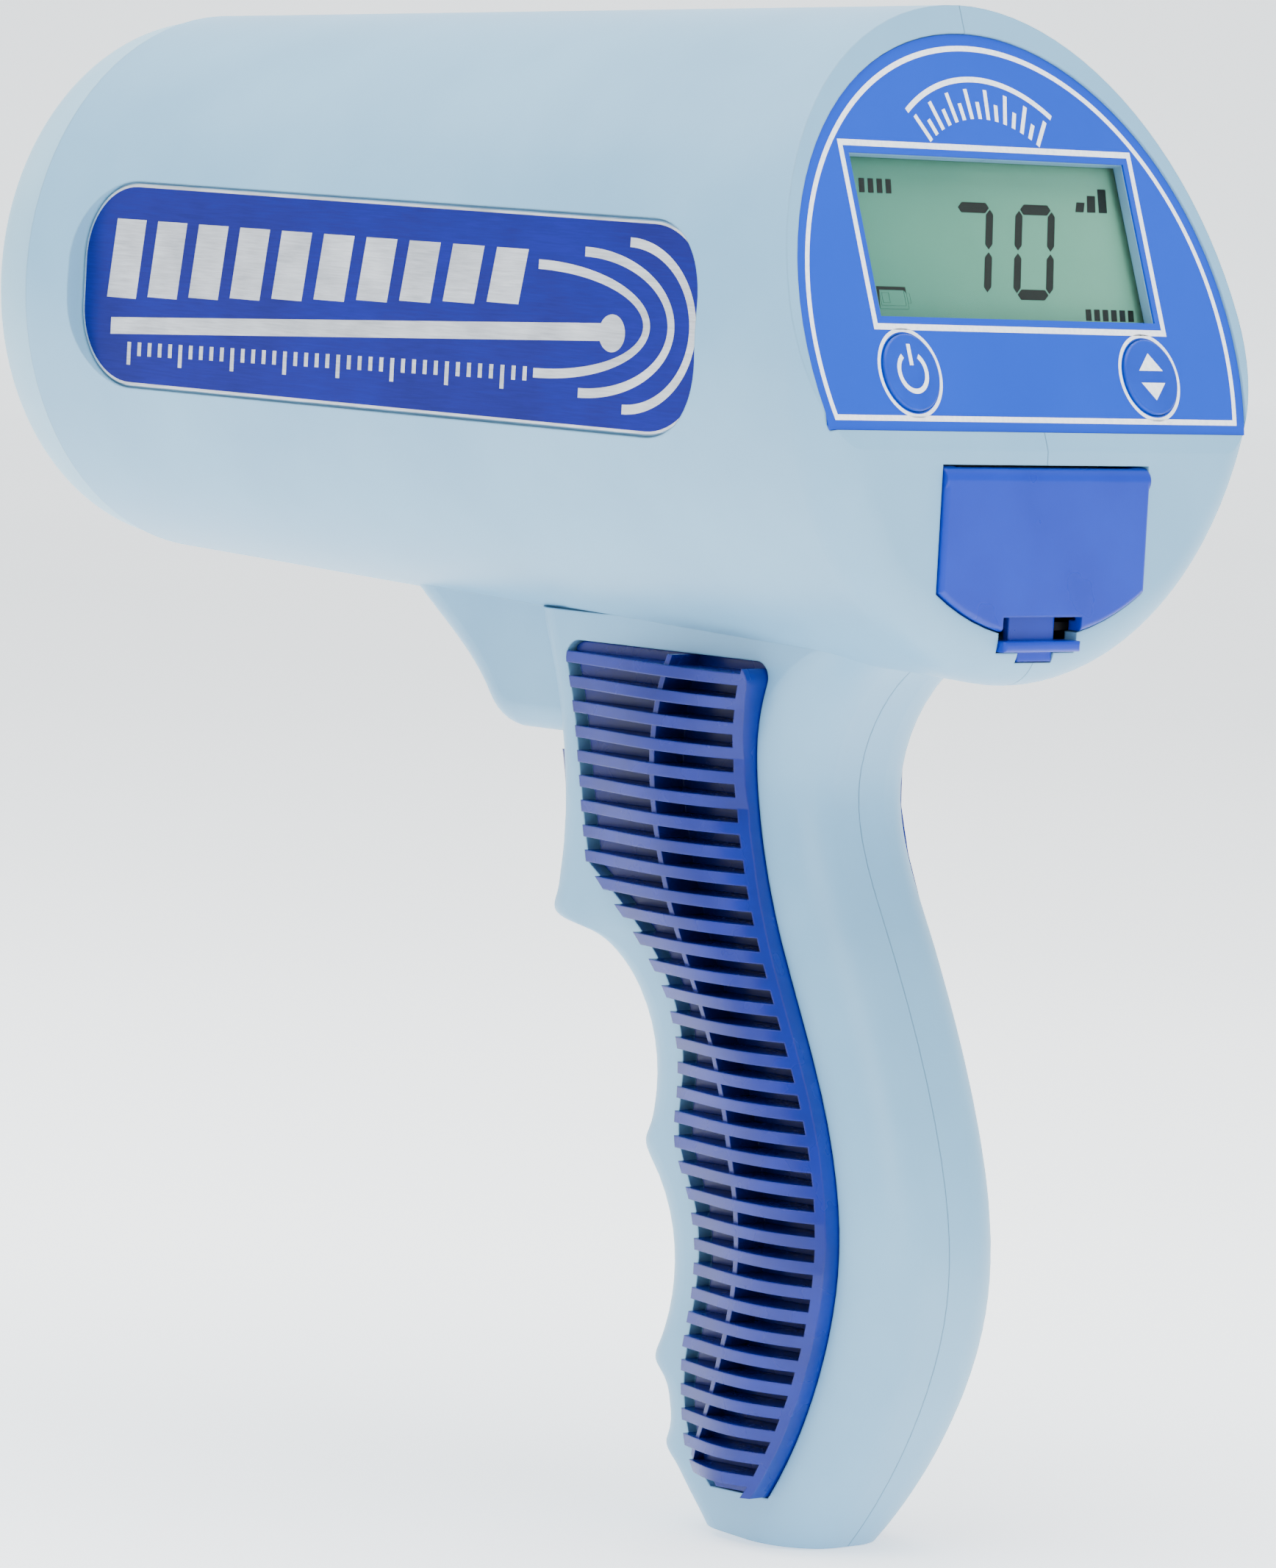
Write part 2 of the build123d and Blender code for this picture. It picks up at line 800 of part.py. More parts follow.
with BuildPart() as lcd_glass:
    with BuildSketch(on_panel(lcd_drop)):
        with Locations((0, window_middle)):
            Rectangle(glass_width, glass_height)
    extrude(amount=-lcd_thickness)
save(lcd_glass, "lcd_glass")

with BuildPart() as zebra_strips:
    with BuildSketch(on_panel(lcd_drop + lcd_thickness)):
        for rise in (-1, 1):
            with Locations((0, window_middle + rise * (glass_height - zebra_width - 1) / 2)):
                Rectangle(glass_width - 4, zebra_width)
    extrude(amount=lcd_drop + lcd_thickness - display_board_drop)
save(zebra_strips, "zebra_strips")

all_posts = [(side * x, rise) for x, rise in display_posts for side in (-1, 1)]

with BuildPart() as display_board:
    with BuildSketch(on_panel(display_board_drop)):
        add(label_outline(50, 7))
        with Locations(*all_posts):
            Circle(display_screw_radius + 0.15, mode=Mode.SUBTRACT)
    extrude(amount=-board_thickness)
save(display_board, "display_board")

with BuildPart() as display_screws:
    with BuildSketch(on_panel(display_board_drop + board_thickness)):
        with Locations(*all_posts):
            Circle(1.9)
    extrude(amount=-1.3)
    with BuildSketch(on_panel(display_board_drop + board_thickness)):
        with Locations(*all_posts):
            Circle(display_screw_radius)
    extrude(amount=board_thickness + display_screw_grip)
save(display_screws, "display_screws")


def key(x):
    """Round key cap with a stem, and a collar behind the panel that keeps it in."""
    with BuildPart() as cap:
        with BuildSketch(on_panel(-key_proud)):
            with Locations((x, key_rise)):
                Circle(key_radius)
        extrude(amount=-key_cap_thickness)
        outer = cap.edges().filter_by(GeomType.CIRCLE).sort_by(panel.location.z_axis)[-1]
        fillet(outer, 0.4)
        with BuildSketch(on_panel(key_cap_thickness - key_proud)):
            with Locations((x, key_rise)):
                Circle(key_stem_radius)
        extrude(amount=key_cap_thickness - key_proud - key_stem_length)
        with BuildSketch(on_panel(wall + 0.1)):
            with Locations((x, key_rise)):
                Circle(key_stem_radius + 1)
        extrude(amount=-0.8)
    return cap.part


def tact_switch(x):
    """Switch body on the display board, bored for its button."""
    with BuildPart() as switch:
        with BuildSketch(on_panel(display_board_drop)):
            with Locations((x, key_rise)):
                Rectangle(switch_size, switch_size)
        extrude(amount=switch_height)
        with BuildSketch(on_panel(display_board_drop - switch_height)):
            with Locations((x, key_rise)):
                Circle(switch_button_radius + 0.2)
        extrude(amount=-1.3, mode=Mode.SUBTRACT)
    return switch.part


def switch_button(x):
    with BuildPart() as button:
        with BuildSketch(on_panel(key_stem_length)):
            with Locations((x, key_rise)):
                Circle(switch_button_radius)
        extrude(amount=-1.6)
    return button.part


for name, x in keys.items():
    with BuildPart() as key_cap:
        add(key(x))
    save(key_cap, f"{name}_key")
    with BuildPart() as key_switch:
        add(tact_switch(x))
    save(key_switch, f"{name}_switch")
    with BuildPart() as key_button:
        add(switch_button(x))
    save(key_button, f"{name}_switch_button")


# Batteries and their bay
with BuildPart() as battery_sleeve:
    with BuildSketch(sleeve_plane(sleeve_rear_y)):
        SlotOverall(sleeve_width + 2 * bay_wall, sleeve_height + 2 * bay_wall)
    extrude(amount=sleeve_front_y + bay_wall - sleeve_rear_y)
    with BuildSketch(sleeve_plane(sleeve_rear_y)):
        SlotOverall(sleeve_width, sleeve_height)
    extrude(amount=sleeve_front_y - sleeve_rear_y, mode=Mode.SUBTRACT)
save(battery_sleeve, "battery_sleeve")


def cell(x, points_forward):
    """C cell: a can with a nub at its positive end."""
    nub_start = cells_rear_y + cell_length - cell_nub_length if points_forward else cells_rear_y
    can_start = cells_rear_y if points_forward else cells_rear_y + cell_nub_length
    with BuildPart() as can:
        with BuildSketch(sleeve_plane(can_start)):
            with Locations((-x, 0)):
                Circle(cell_radius)
        extrude(amount=cell_length - cell_nub_length)
        fillet(can.edges().filter_by(GeomType.CIRCLE), 0.8)
        with BuildSketch(sleeve_plane(nub_start)):
            with Locations((-x, 0)):
                Circle(cell_nub_radius)
        extrude(amount=cell_nub_length)
    return can.part


with BuildPart() as battery_left:
    add(cell(-cell_spacing / 2, True))
save(battery_left, "battery_left")

with BuildPart() as battery_right:
    add(cell(cell_spacing / 2, False))
save(battery_right, "battery_right")

cells_front_y = cells_rear_y + cell_length
terminal_y = sleeve_front_y - contact_thickness

with BuildPart() as battery_terminals:
    with BuildSketch(sleeve_plane(terminal_y)):
        with Locations((-cell_spacing / 2, 0), (cell_spacing / 2, 0)):
            RectangleRounded(16, 18, 3)
    extrude(amount=contact_thickness)
    with BuildSketch(sleeve_plane(terminal_y)):
        with Locations((cell_spacing / 2, 0)):
            Circle(4.5)
    extrude(amount=cells_front_y + 0.1 - terminal_y, taper=14)
save(battery_terminals, "battery_terminals")


def coil(start, axis, radius, wire, length, turns):
    """Open coil spring of round wire along an axis, its ends just inside its length."""
    inner = length - 2 * wire - 0.1
    centre = Vector(start) + Vector(axis) * (wire + 0.05)
    with BuildPart() as spring:
        with BuildLine():
            path = Helix(inner / turns, inner, radius, center=centre, direction=axis)
        with BuildSketch(Plane(origin=path @ 0, z_dir=path % 0)):
            Circle(wire)
        sweep(path=path, is_frenet=True)
    return spring.part


with BuildPart() as battery_spring:
    start = (cell_spacing / 2, cells_front_y, cell_z)
    add(coil(start, (0, 1, 0), 5.2, 0.5, terminal_y - cells_front_y, 3))
save(battery_spring, "battery_spring")


# Battery door
door_face = rear_face.offset(door_proud)


def door_plate():
    """Skin and rim of the door, with the notch that clears the latch's thumb lip."""
    with BuildPart() as plate:
        with BuildSketch(door_face):
            add(door_outline(-door_gap))
        extrude(amount=-door_thickness)
        fillet(plate.faces().sort_by(Axis.Y)[0].edges(), 0.8)
        with BuildSketch(door_face.offset(-door_skin)):
            add(door_outline(-door_gap - 1.6))
            with Locations((0, -hinge_radius - door_top_drop)):
                Rectangle(2 * knuckle_start, 12)
        extrude(amount=-door_thickness, mode=Mode.SUBTRACT)
        with BuildSketch(door_face):
            with Locations((0, latch_notch_rise - belly_drop)):
                Rectangle(latch_width + 0.6, 20, align=(Align.CENTER, Align.MAX))
        extrude(amount=-door_thickness, mode=Mode.SUBTRACT)
    return plate.part


def hinge_barrel(start, end):
    return cylinder_x(hinge_y, hinge_z, hinge_radius, start, end)


belly_drop = door_top_drop + door_side_height + door_belly
door_half = door_width / 2 - door_gap
arm_rear = rear_y + latch_arm_inset
skin_back = rear_y - door_proud + door_skin
arm_front = arm_rear + latch_arm_thickness
latch_coil_radius = 1.1
spring_seat_z = crease_z - 27.0
spring_stop_z = crease_z - 23.0

with BuildPart() as door_top:
    add(hinge_barrel(-door_half, door_half))
    add(block((-60, 60), (rear_y - 20, rear_y + 20), (hinge_z - 60, hinge_z)))

with BuildPart() as battery_door:
    add(door_plate())
    add(door_top.part, mode=Mode.INTERSECT)
    for side in (-1, 1):
        add(hinge_barrel(side * knuckle_start, side * door_half))
        ends = (side * 6.3, side * 8.3)
        add(block(sorted(ends), (skin_back - 0.2, arm_front + 0.6), (crease_z - 28.6, crease_z - 22)))
        add(cylinder_x(hinge_y, hinge_z, hinge_pin_radius + 0.01, 0, side * 60), mode=Mode.SUBTRACT)
    add(block((-8.3, 8.3), (arm_front + 0.2, arm_front + 1.0), (crease_z - 28, crease_z - 24)))
    add(block((-2.4, 2.4), (skin_back - 0.2, arm_rear - 0.2), (crease_z - 28.6, spring_stop_z)))
    with Locations((0, (arm_rear + arm_front) / 2, spring_stop_z - 6)):
        Cylinder(latch_coil_radius + 0.4, 12, mode=Mode.SUBTRACT)
    add(block((-2.8, 2.8), (skin_back - 0.2, arm_front), (spring_stop_z, spring_stop_z + 1.5)))
save(battery_door, "battery_door")

with BuildPart() as door_contact_strip:
    with BuildSketch(rear_face.offset(rear_y - skin_back)):
        with Locations((0, cell_z - crease_z + 0.4)):
            RectangleRounded(contact_width, contact_height, 2)
    extrude(amount=-contact_thickness)
    with BuildSketch(rear_face.offset(rear_y - skin_back - contact_thickness)):
        with Locations((-cell_spacing / 2, cell_z - crease_z), (cell_spacing / 2, cell_z - crease_z)):
            Circle(contact_bump_radius)
    extrude(amount=skin_back + contact_thickness - cells_rear_y + cell_gap, taper=16)
save(door_contact_strip, "door_contact_strip")

with BuildPart() as door_hinge_pins:
    for side in (-1, 1):
        ends = (side * knuckle_start, side * (knuckle_start + hinge_pin_length - 0.2))
        add(cylinder_x(hinge_y, hinge_z, hinge_pin_radius, *ends))
save(door_hinge_pins, "door_hinge_pins")

lip_low = crease_z - latch_low + latch_clearance
lip_high = lip_low + latch_lip_height

with BuildPart() as door_latch:
    half = latch_arm_width / 2
    lip = latch_width / 2
    hook = latch_hook_width / 2
    add(block((-half, half), (arm_rear, arm_front), (lip_low, crease_z - 22)))
    add(block((-3.0, 3.0), (arm_rear - 1, arm_front + 1), (spring_seat_z, crease_z)), mode=Mode.SUBTRACT)
    add(block((-lip, lip), (rear_y - latch_lip_proud, arm_front), (lip_low, lip_high)))
    rims = door_latch.faces().sort_by(Axis.Y)[0].edges()
    fillet(rims, 0.6)
    hook_low = crease_z - catch_low + latch_clearance
    add(block((-hook, hook), (rear_y + 0.6, arm_front), (hook_low, lip_low)))
save(door_latch, "door_latch")

with BuildPart() as latch_spring:
    start = (0, (arm_rear + arm_front) / 2, spring_seat_z)
    add(coil(start, (0, 0, 1), latch_coil_radius, 0.25, spring_stop_z - spring_seat_z, 4))
save(latch_spring, "latch_spring")


# Trigger
with BuildPart() as trigger:
    with BuildSketch(Plane.YZ):
        with BuildLine():
            face = ThreePointArc((65.9, trigger_high), (63.9, 121.5), (64.8, trigger_low))
            Polyline(
                face @ 1, (59.0, trigger_low), (58.2, plunger_z - 2), (trigger_pad_y, plunger_z - 1.8),
                (trigger_pad_y, plunger_z + 1.8), (57.4, plunger_z + 2.4), (56.0, 127.6),
                (trigger_pivot_y, trigger_pivot_z - trigger_lug_radius),
                (trigger_pivot_y, trigger_pivot_z + trigger_lug_radius), (57.0, trigger_high), face @ 0,
            )
        make_face()
        with Locations((trigger_pivot_y, trigger_pivot_z)):
            Circle(trigger_lug_radius)
            Circle(trigger_pin_radius + 0.06, mode=Mode.SUBTRACT)
    extrude(amount=trigger_width / 2, both=True)
    arcs = trigger.edges().filter_by(GeomType.CIRCLE).sort_by(Axis.Y)[-2:]
    fillet(arcs, 2.2)
save(trigger, "trigger")

with BuildPart() as trigger_pin:
    ends = (-trigger_pin_half, trigger_pin_half)
    add(cylinder_x(trigger_pivot_y, trigger_pivot_z, trigger_pin_radius, *ends))
save(trigger_pin, "trigger_pin")

bulkhead_y = bulkhead_span[1]
switch_front_y = bulkhead_y + switch_depth
plunger_end_y = trigger_pad_y - plunger_gap


def bar_y(z, radius, start, end):
    """Solid round bar along Y on the centre plane."""
    with BuildPart() as bar:
        with BuildSketch(Plane(origin=(0, start, z), x_dir=(-1, 0, 0), z_dir=(0, 1, 0))):
            Circle(radius)
        extrude(amount=end - start)
    return bar.part


with BuildPart() as trigger_switch:
    span = (-switch_half, switch_half)
    add(block(span, (bulkhead_y, switch_front_y), (plunger_z - 4, plunger_z + 9)))
    for z in (plunger_z - 2, plunger_z + 3, plunger_z + 7):
        add(block((-0.8, 0.8), (bulkhead_y + 1, bulkhead_y + 2), (z, z + 0.5)))
    bore_end = plunger_end_y - plunger_length - 1.8
    add(bar_y(plunger_z, plunger_radius + 0.1, bore_end, switch_front_y + 1), mode=Mode.SUBTRACT)
save(trigger_switch, "trigger_switch")

with BuildPart() as switch_plunger:
    add(bar_y(plunger_z, plunger_radius, plunger_end_y - plunger_length, plunger_end_y))
    fillet(switch_plunger.edges().sort_by(Axis.Y)[-1], 0.4)
save(switch_plunger, "switch_plunger")

with BuildPart() as trigger_spring:
    start = (0, bulkhead_y, spring_z)
    add(coil(start, (0, 1, 0), spring_radius - spring_wire, spring_wire, 58.8 - bulkhead_y, 6))
save(trigger_spring, "trigger_spring")


# Radar head
inner_front = front_radius - wall
ring_y = front_y + fit_gap


def radome_shell(inset):
    """Domed cap ahead of the barrel, drawn in by inset."""
    nose = ring_y + radome_length - inset
    base = front_radius - 1.1 - inset
    tip = base - 2.6
    with BuildPart() as cap:
        with BuildSketch(Plane.YZ):
            with BuildLine():
                edge = Line((ring_y, axis_z + base), (ring_y + 4, axis_z + base))
                bend = Spline(
                    edge @ 1, (nose - 5.0, axis_z + tip - 3.2), (nose - 1.6, axis_z + tip - 12),
                    (nose, axis_z), tangents=((1, -0.02), (0, -1)),
                )
                Polyline(bend @ 1, (ring_y, axis_z), edge @ 0)
            make_face()
        revolve(axis=barrel_axis)
    return cap.part


with BuildPart() as radome:
    add(radome_shell(0))
    add(radome_shell(radome_wall), mode=Mode.SUBTRACT)
    with BuildSketch(Plane.YZ):
        skirt = inner_front - radome_skirt_gap
        with BuildLine():
            Polyline(
                (ring_y - radome_skirt, axis_z + skirt), (ring_y, axis_z + skirt),
                (ring_y, axis_z + front_radius - 2), (ring_y + 2, axis_z + front_radius - 2),
                (ring_y + 2, axis_z + skirt - 2), (ring_y - radome_skirt, axis_z + skirt - 2), close=True,
            )
        make_face()
    revolve(axis=barrel_axis)
save(radome, "radome")

throat_y = horn_mouth_y - horn_length
ring_front_y = horn_mouth_y + 3
pocket_reach = barrel_radius(plate_middle_y) - plate_pocket - cone_slope * (ring_front_y - plate_middle_y)
ring_half_width = pocket_reach - plate_back_wall - fit_gap
mouth_ring = barrel_radius(ring_front_y) - wall - fit_gap

with BuildPart() as horn_antenna:
    with BuildSketch(Plane.YZ):
        with BuildLine():
            Polyline(
                (throat_y, axis_z + horn_throat_radius), (horn_mouth_y, axis_z + horn_mouth_radius),
                (ring_front_y, axis_z + horn_mouth_radius), (ring_front_y, axis_z + mouth_ring),
                (horn_mouth_y, axis_z + mouth_ring), (horn_mouth_y, axis_z + horn_mouth_radius + horn_wall),
                (throat_y, axis_z + horn_throat_radius + horn_wall), close=True,
            )
        make_face()
    revolve(axis=barrel_axis)
    with Locations((0, horn_mouth_y, axis_z)):
        Box(2 * ring_half_width, 200, 200, mode=Mode.INTERSECT)
    with BuildSketch(Plane(origin=(0, throat_y, axis_z), x_dir=(-1, 0, 0), z_dir=(0, 1, 0))):
        Rectangle(flange_size, flange_size)
        Circle(horn_throat_radius, mode=Mode.SUBTRACT)
        with GridLocations(antenna_screw_pitch, antenna_screw_pitch, 2, 2):
            Circle(1.6, mode=Mode.SUBTRACT)
    extrude(amount=-flange_thickness)
save(horn_antenna, "horn_antenna")

flange_rear_y = throat_y - flange_thickness
head_face = Plane(origin=(0, flange_rear_y, axis_z), x_dir=(-1, 0, 0), z_dir=(0, 1, 0))

with BuildPart() as transceiver_block:
    with BuildSketch(head_face):
        Rectangle(head_size, head_size)
    extrude(amount=-head_length)
    chamfer(transceiver_block.edges().filter_by(Axis.Y), 1.5)
    with BuildSketch(head_face):
        Rectangle(19, 9.5)
    extrude(amount=-20, mode=Mode.SUBTRACT)
    with BuildSketch(head_face):
        with GridLocations(antenna_screw_pitch, antenna_screw_pitch, 2, 2):
            Circle(1.42)
    extrude(amount=-8, mode=Mode.SUBTRACT)
    with BuildSketch(Plane.XY.offset(axis_z + head_size / 2)):
        with Locations((0, flange_rear_y - tuner_back)):
            Circle(tuner_radius + 0.02)
    extrude(amount=-12, mode=Mode.SUBTRACT)
save(transceiver_block, "transceiver_block")

with BuildPart() as tuning_screw:
    with BuildSketch(Plane.XY.offset(axis_z + head_size / 2 - 11)):
        with Locations((0, flange_rear_y - tuner_back)):
            Circle(tuner_radius)
    extrude(amount=16)
    with BuildSketch(Plane.XY.offset(axis_z + head_size / 2)):
        with Locations((0, flange_rear_y - tuner_back)):
            RegularPolygon(4.2, 6)
    extrude(amount=2)
save(tuning_screw, "tuning_screw")

with BuildPart() as antenna_screws:
    with BuildSketch(head_face.offset(flange_thickness)):
        with GridLocations(antenna_screw_pitch, antenna_screw_pitch, 2, 2):
            Circle(2.5)
    extrude(amount=2)
    with BuildSketch(head_face.offset(flange_thickness)):
        with GridLocations(antenna_screw_pitch, antenna_screw_pitch, 2, 2):
            Circle(1.4)
    extrude(amount=-flange_thickness - 7)
save(antenna_screws, "antenna_screws")

with BuildPart() as main_board:
    span = (-board_half_width, board_half_width)
    add(block(span, board_span, (board_z, board_z + board_thickness)))
    with BuildSketch(Plane.XY.offset(board_z)):
        with Locations((0, board_span[1])):
            Rectangle(24, 8)
    extrude(amount=board_thickness, mode=Mode.SUBTRACT)
save(main_board, "main_board")

board_top = board_z + board_thickness
chips = {(0, 18): (14, 14, 1.8), (-19, 12): (8, 12, 1.8), (-18, 34): (12, 6, 5), (19, 32): (6, 10, 1.6)}

with BuildPart() as board_components:
    for (x, y), (width, depth, height) in chips.items():
        span = (x - width / 2, x + width / 2)
        add(block(span, (y - depth / 2, y + depth / 2), (board_top, board_top + height)))
    with BuildSketch(Plane.XY.offset(board_top)):
        with Locations((18, 6), (18, 17)):
            Circle(4)
    extrude(amount=9)
save(board_components, "board_components")
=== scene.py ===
# Speed radar gun: looks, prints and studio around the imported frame. Metres, +Z up, +Y along the barrel.
import math
import bpy
import bmesh
from mathutils import Euler, Matrix, Vector


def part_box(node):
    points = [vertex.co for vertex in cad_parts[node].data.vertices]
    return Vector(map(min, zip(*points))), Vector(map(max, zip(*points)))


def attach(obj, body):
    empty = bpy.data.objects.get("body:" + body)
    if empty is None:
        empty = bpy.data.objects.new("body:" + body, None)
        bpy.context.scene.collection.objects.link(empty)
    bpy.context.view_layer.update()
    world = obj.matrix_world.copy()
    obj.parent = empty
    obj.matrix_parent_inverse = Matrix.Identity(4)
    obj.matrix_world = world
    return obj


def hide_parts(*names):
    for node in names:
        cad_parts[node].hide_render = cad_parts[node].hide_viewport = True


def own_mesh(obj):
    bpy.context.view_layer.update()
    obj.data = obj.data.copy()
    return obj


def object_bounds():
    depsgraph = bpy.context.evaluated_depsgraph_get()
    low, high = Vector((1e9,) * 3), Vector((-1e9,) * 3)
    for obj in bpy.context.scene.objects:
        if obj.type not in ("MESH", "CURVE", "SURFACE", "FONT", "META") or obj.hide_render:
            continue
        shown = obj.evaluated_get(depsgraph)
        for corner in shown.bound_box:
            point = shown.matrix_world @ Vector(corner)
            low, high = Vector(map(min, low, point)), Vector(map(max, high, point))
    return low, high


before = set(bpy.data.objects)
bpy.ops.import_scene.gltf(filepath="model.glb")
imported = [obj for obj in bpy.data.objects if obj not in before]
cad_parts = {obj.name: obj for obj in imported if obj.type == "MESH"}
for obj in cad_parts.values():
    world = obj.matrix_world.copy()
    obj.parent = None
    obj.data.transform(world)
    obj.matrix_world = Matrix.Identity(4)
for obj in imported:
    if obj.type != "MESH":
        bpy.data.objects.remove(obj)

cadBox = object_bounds()
mm = 0.001
print("frame loaded:", len(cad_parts), "nodes")


# Small tools
def toLinear(hexColour):
    # '#rrggbb' in sRGB to a linear colour with alpha
    parts = [int(hexColour[i:i + 2], 16) / 255 for i in (1, 3, 5)]
    return [c / 12.92 if c <= 0.04045 else ((c + 0.055) / 1.055) ** 2.4 for c in parts] + [1.0]


def addNode(tree, kind, links=None, **settings):
    # settings name a property or an input socket, and links feed sockets from other nodes' outputs
    node = tree.nodes.new(kind)
    for name, value in settings.items():
        if hasattr(node, name):
            setattr(node, name, value)
        else:
            node.inputs[name.replace("_", " ")].default_value = value
    for socket, source in (links or {}).items():
        tree.links.new(source, node.inputs[socket])
    return node


def newMaterial(name):
    material = bpy.data.materials.new(name)
    material.use_nodes = True
    tree = material.node_tree
    tree.nodes.clear()
    return material, tree


def ramp(tree, source, stops):
    node = addNode(tree, "ShaderNodeValToRGB", {"Fac": source})
    node.color_ramp.elements[0].position, node.color_ramp.elements[0].color = stops[0]
    node.color_ramp.elements[1].position, node.color_ramp.elements[1].color = stops[-1]
    for position, colour in stops[1:-1]:
        node.color_ramp.elements.new(position).color = colour
    return node.outputs["Color"]


# Materials
def plasticSurface(name, look):
    # moulded plastic: mottled colour, uneven gloss, spark-eroded grain and softened edges
    material, tree = newMaterial(name)
    where = addNode(tree, "ShaderNodeTexCoord").outputs["Object"]
    cloud = addNode(tree, "ShaderNodeTexNoise", {"Vector": where}, Scale=1 / (look["mottleMm"] * mm),
                    Detail=3.0).outputs["Fac"]
    grain = addNode(tree, "ShaderNodeTexNoise", {"Vector": where}, Scale=1 / (look["grainMm"] * mm),
                    Detail=2.0).outputs["Fac"]
    colour = ramp(tree, cloud, [(0.3, toLinear(look["dark"])), (0.7, toLinear(look["light"]))])
    gloss = addNode(tree, "ShaderNodeMapRange", {"Value": cloud}, To_Min=look["rough"][0],
                    To_Max=look["rough"][1]).outputs["Result"]
    edge = addNode(tree, "ShaderNodeBevel", samples=4, Radius=look["edgeMm"] * mm).outputs["Normal"]
    bump = addNode(tree, "ShaderNodeBump", {"Height": grain, "Normal": edge}, Strength=look["grain"],
                   Distance=0.05 * mm).outputs["Normal"]
    shader = addNode(tree, "ShaderNodeBsdfPrincipled",
                     {"Base Color": colour, "Roughness": gloss, "Normal": bump},
                     IOR=1.53, Specular_IOR_Level=look.get("shine", 0.5),
                     Coat_Weight=look.get("coat", 0.0), Coat_Roughness=0.12)
    addNode(tree, "ShaderNodeOutputMaterial", {"Surface": shader.outputs["BSDF"]})
    return material


# ABS moulded in an etched tool: pale blue-grey, soft sheen, a grain too fine to count
housingLook = {"dark": "#6fa2c2", "light": "#78abca", "mottleMm": 30, "grainMm": 0.7, "grain": 0.22,
               "rough": (0.36, 0.44), "edgeMm": 0.5}
# polyethylene radome, a shade paler and waxier than the housing
radomeLook = {"dark": "#8cb8d0", "light": "#96c0d6", "mottleMm": 22, "grainMm": 0.6, "grain": 0.15,
              "rough": (0.40, 0.48), "edgeMm": 0.8}
# polycarbonate film, printed from behind: even, satin, hardly any grain
filmLook = {"dark": "#003ab0", "light": "#003eb8", "mottleMm": 40, "grainMm": 0.35, "grain": 0.10,
            "rough": (0.34, 0.40), "edgeMm": 0.1, "shine": 0.2}
# gloss ABS of the battery door and its latch: deep blue with a broad highlight
doorLook = {"dark": "#00259a", "light": "#002ba6", "mottleMm": 16, "grainMm": 0.8, "grain": 0.16,
            "rough": (0.24, 0.33), "edgeMm": 0.6, "shine": 0.3}
# gloss ABS of the grip inserts and trigger: darker blue, bright along the rib edges
gripLook = {"dark": "#00136c", "light": "#001880", "mottleMm": 12, "grainMm": 0.8, "grain": 0.14,
            "rough": (0.22, 0.32), "edgeMm": 0.35, "shine": 0.35}
keyLook = {"dark": "#0036a4", "light": "#003bb0", "mottleMm": 9, "grainMm": 0.5, "grain": 0.12,
           "rough": (0.30, 0.36), "edgeMm": 0.4, "shine": 0.25}
# glass-filled nylon of the inner mouldings: near black, dull
innerLook = {"dark": "#1b1c1e", "light": "#242629", "mottleMm": 10, "grainMm": 0.6, "grain": 0.3,
             "rough": (0.5, 0.62), "edgeMm": 0.3}
# moulded epoxy packages of the electronic parts
epoxyLook = {"dark": "#121212", "light": "#1b1b1c", "mottleMm": 4, "grainMm": 0.3, "grain": 0.35,
             "rough": (0.45, 0.6), "edgeMm": 0.15}
# conductive rubber of the strips between board and glass
rubberLook = {"dark": "#2b2b2b", "light": "#3a3a3a", "mottleMm": 3, "grainMm": 0.3, "grain": 0.3,
              "rough": (0.7, 0.85), "edgeMm": 0.2}
# shrink sleeve on a cell's steel can
sleeveLook = {"dark": "#20262e", "light": "#2c333d", "mottleMm": 18, "grainMm": 0.5, "grain": 0.08,
              "rough": (0.25, 0.35), "edgeMm": 0.4, "coat": 0.3}


def metalSurface(name, look):
    # metal with a drawn or turned finish: fine streaks along one direction in colour, gloss and height
    material, tree = newMaterial(name)
    where = addNode(tree, "ShaderNodeTexCoord").outputs["Object"]
    along = addNode(tree, "ShaderNodeMapping", {"Vector": where}, Scale=look["stretch"]).outputs["Vector"]
    streak = addNode(tree, "ShaderNodeTexNoise", {"Vector": along}, Scale=1 / (look["streakMm"] * mm),
                     Detail=4.0, Roughness=0.65).outputs["Fac"]
    cloud = addNode(tree, "ShaderNodeTexNoise", {"Vector": where}, Scale=1 / (look["mottleMm"] * mm),
                    Detail=2.0).outputs["Fac"]
    blend = addNode(tree, "ShaderNodeMix", {"A": streak, "B": cloud}, data_type="FLOAT").outputs["Result"]
    colour = ramp(tree, blend, [(0.35, toLinear(look["dark"])), (0.65, toLinear(look["light"]))])
    gloss = addNode(tree, "ShaderNodeMapRange", {"Value": streak}, To_Min=look["rough"][0],
                    To_Max=look["rough"][1]).outputs["Result"]
    edge = addNode(tree, "ShaderNodeBevel", samples=4, Radius=look["edgeMm"] * mm).outputs["Normal"]
    bump = addNode(tree, "ShaderNodeBump", {"Height": streak, "Normal": edge}, Strength=look["relief"],
                   Distance=0.02 * mm).outputs["Normal"]
    shader = addNode(tree, "ShaderNodeBsdfPrincipled",
                     {"Base Color": colour, "Roughness": gloss, "Normal": bump},
                     Metallic=look.get("metal", 1.0))
    addNode(tree, "ShaderNodeOutputMaterial", {"Surface": shader.outputs["BSDF"]})
    return material


# aluminium sheet brushed along the barrel: silvery streaks that catch the light
plateLook = {"dark": "#b9bdc4", "light": "#e6e9ee", "stretch": (1, 0.03, 1), "streakMm": 0.35, "mottleMm": 12,
             "rough": (0.26, 0.44), "relief": 0.35, "edgeMm": 0.1}
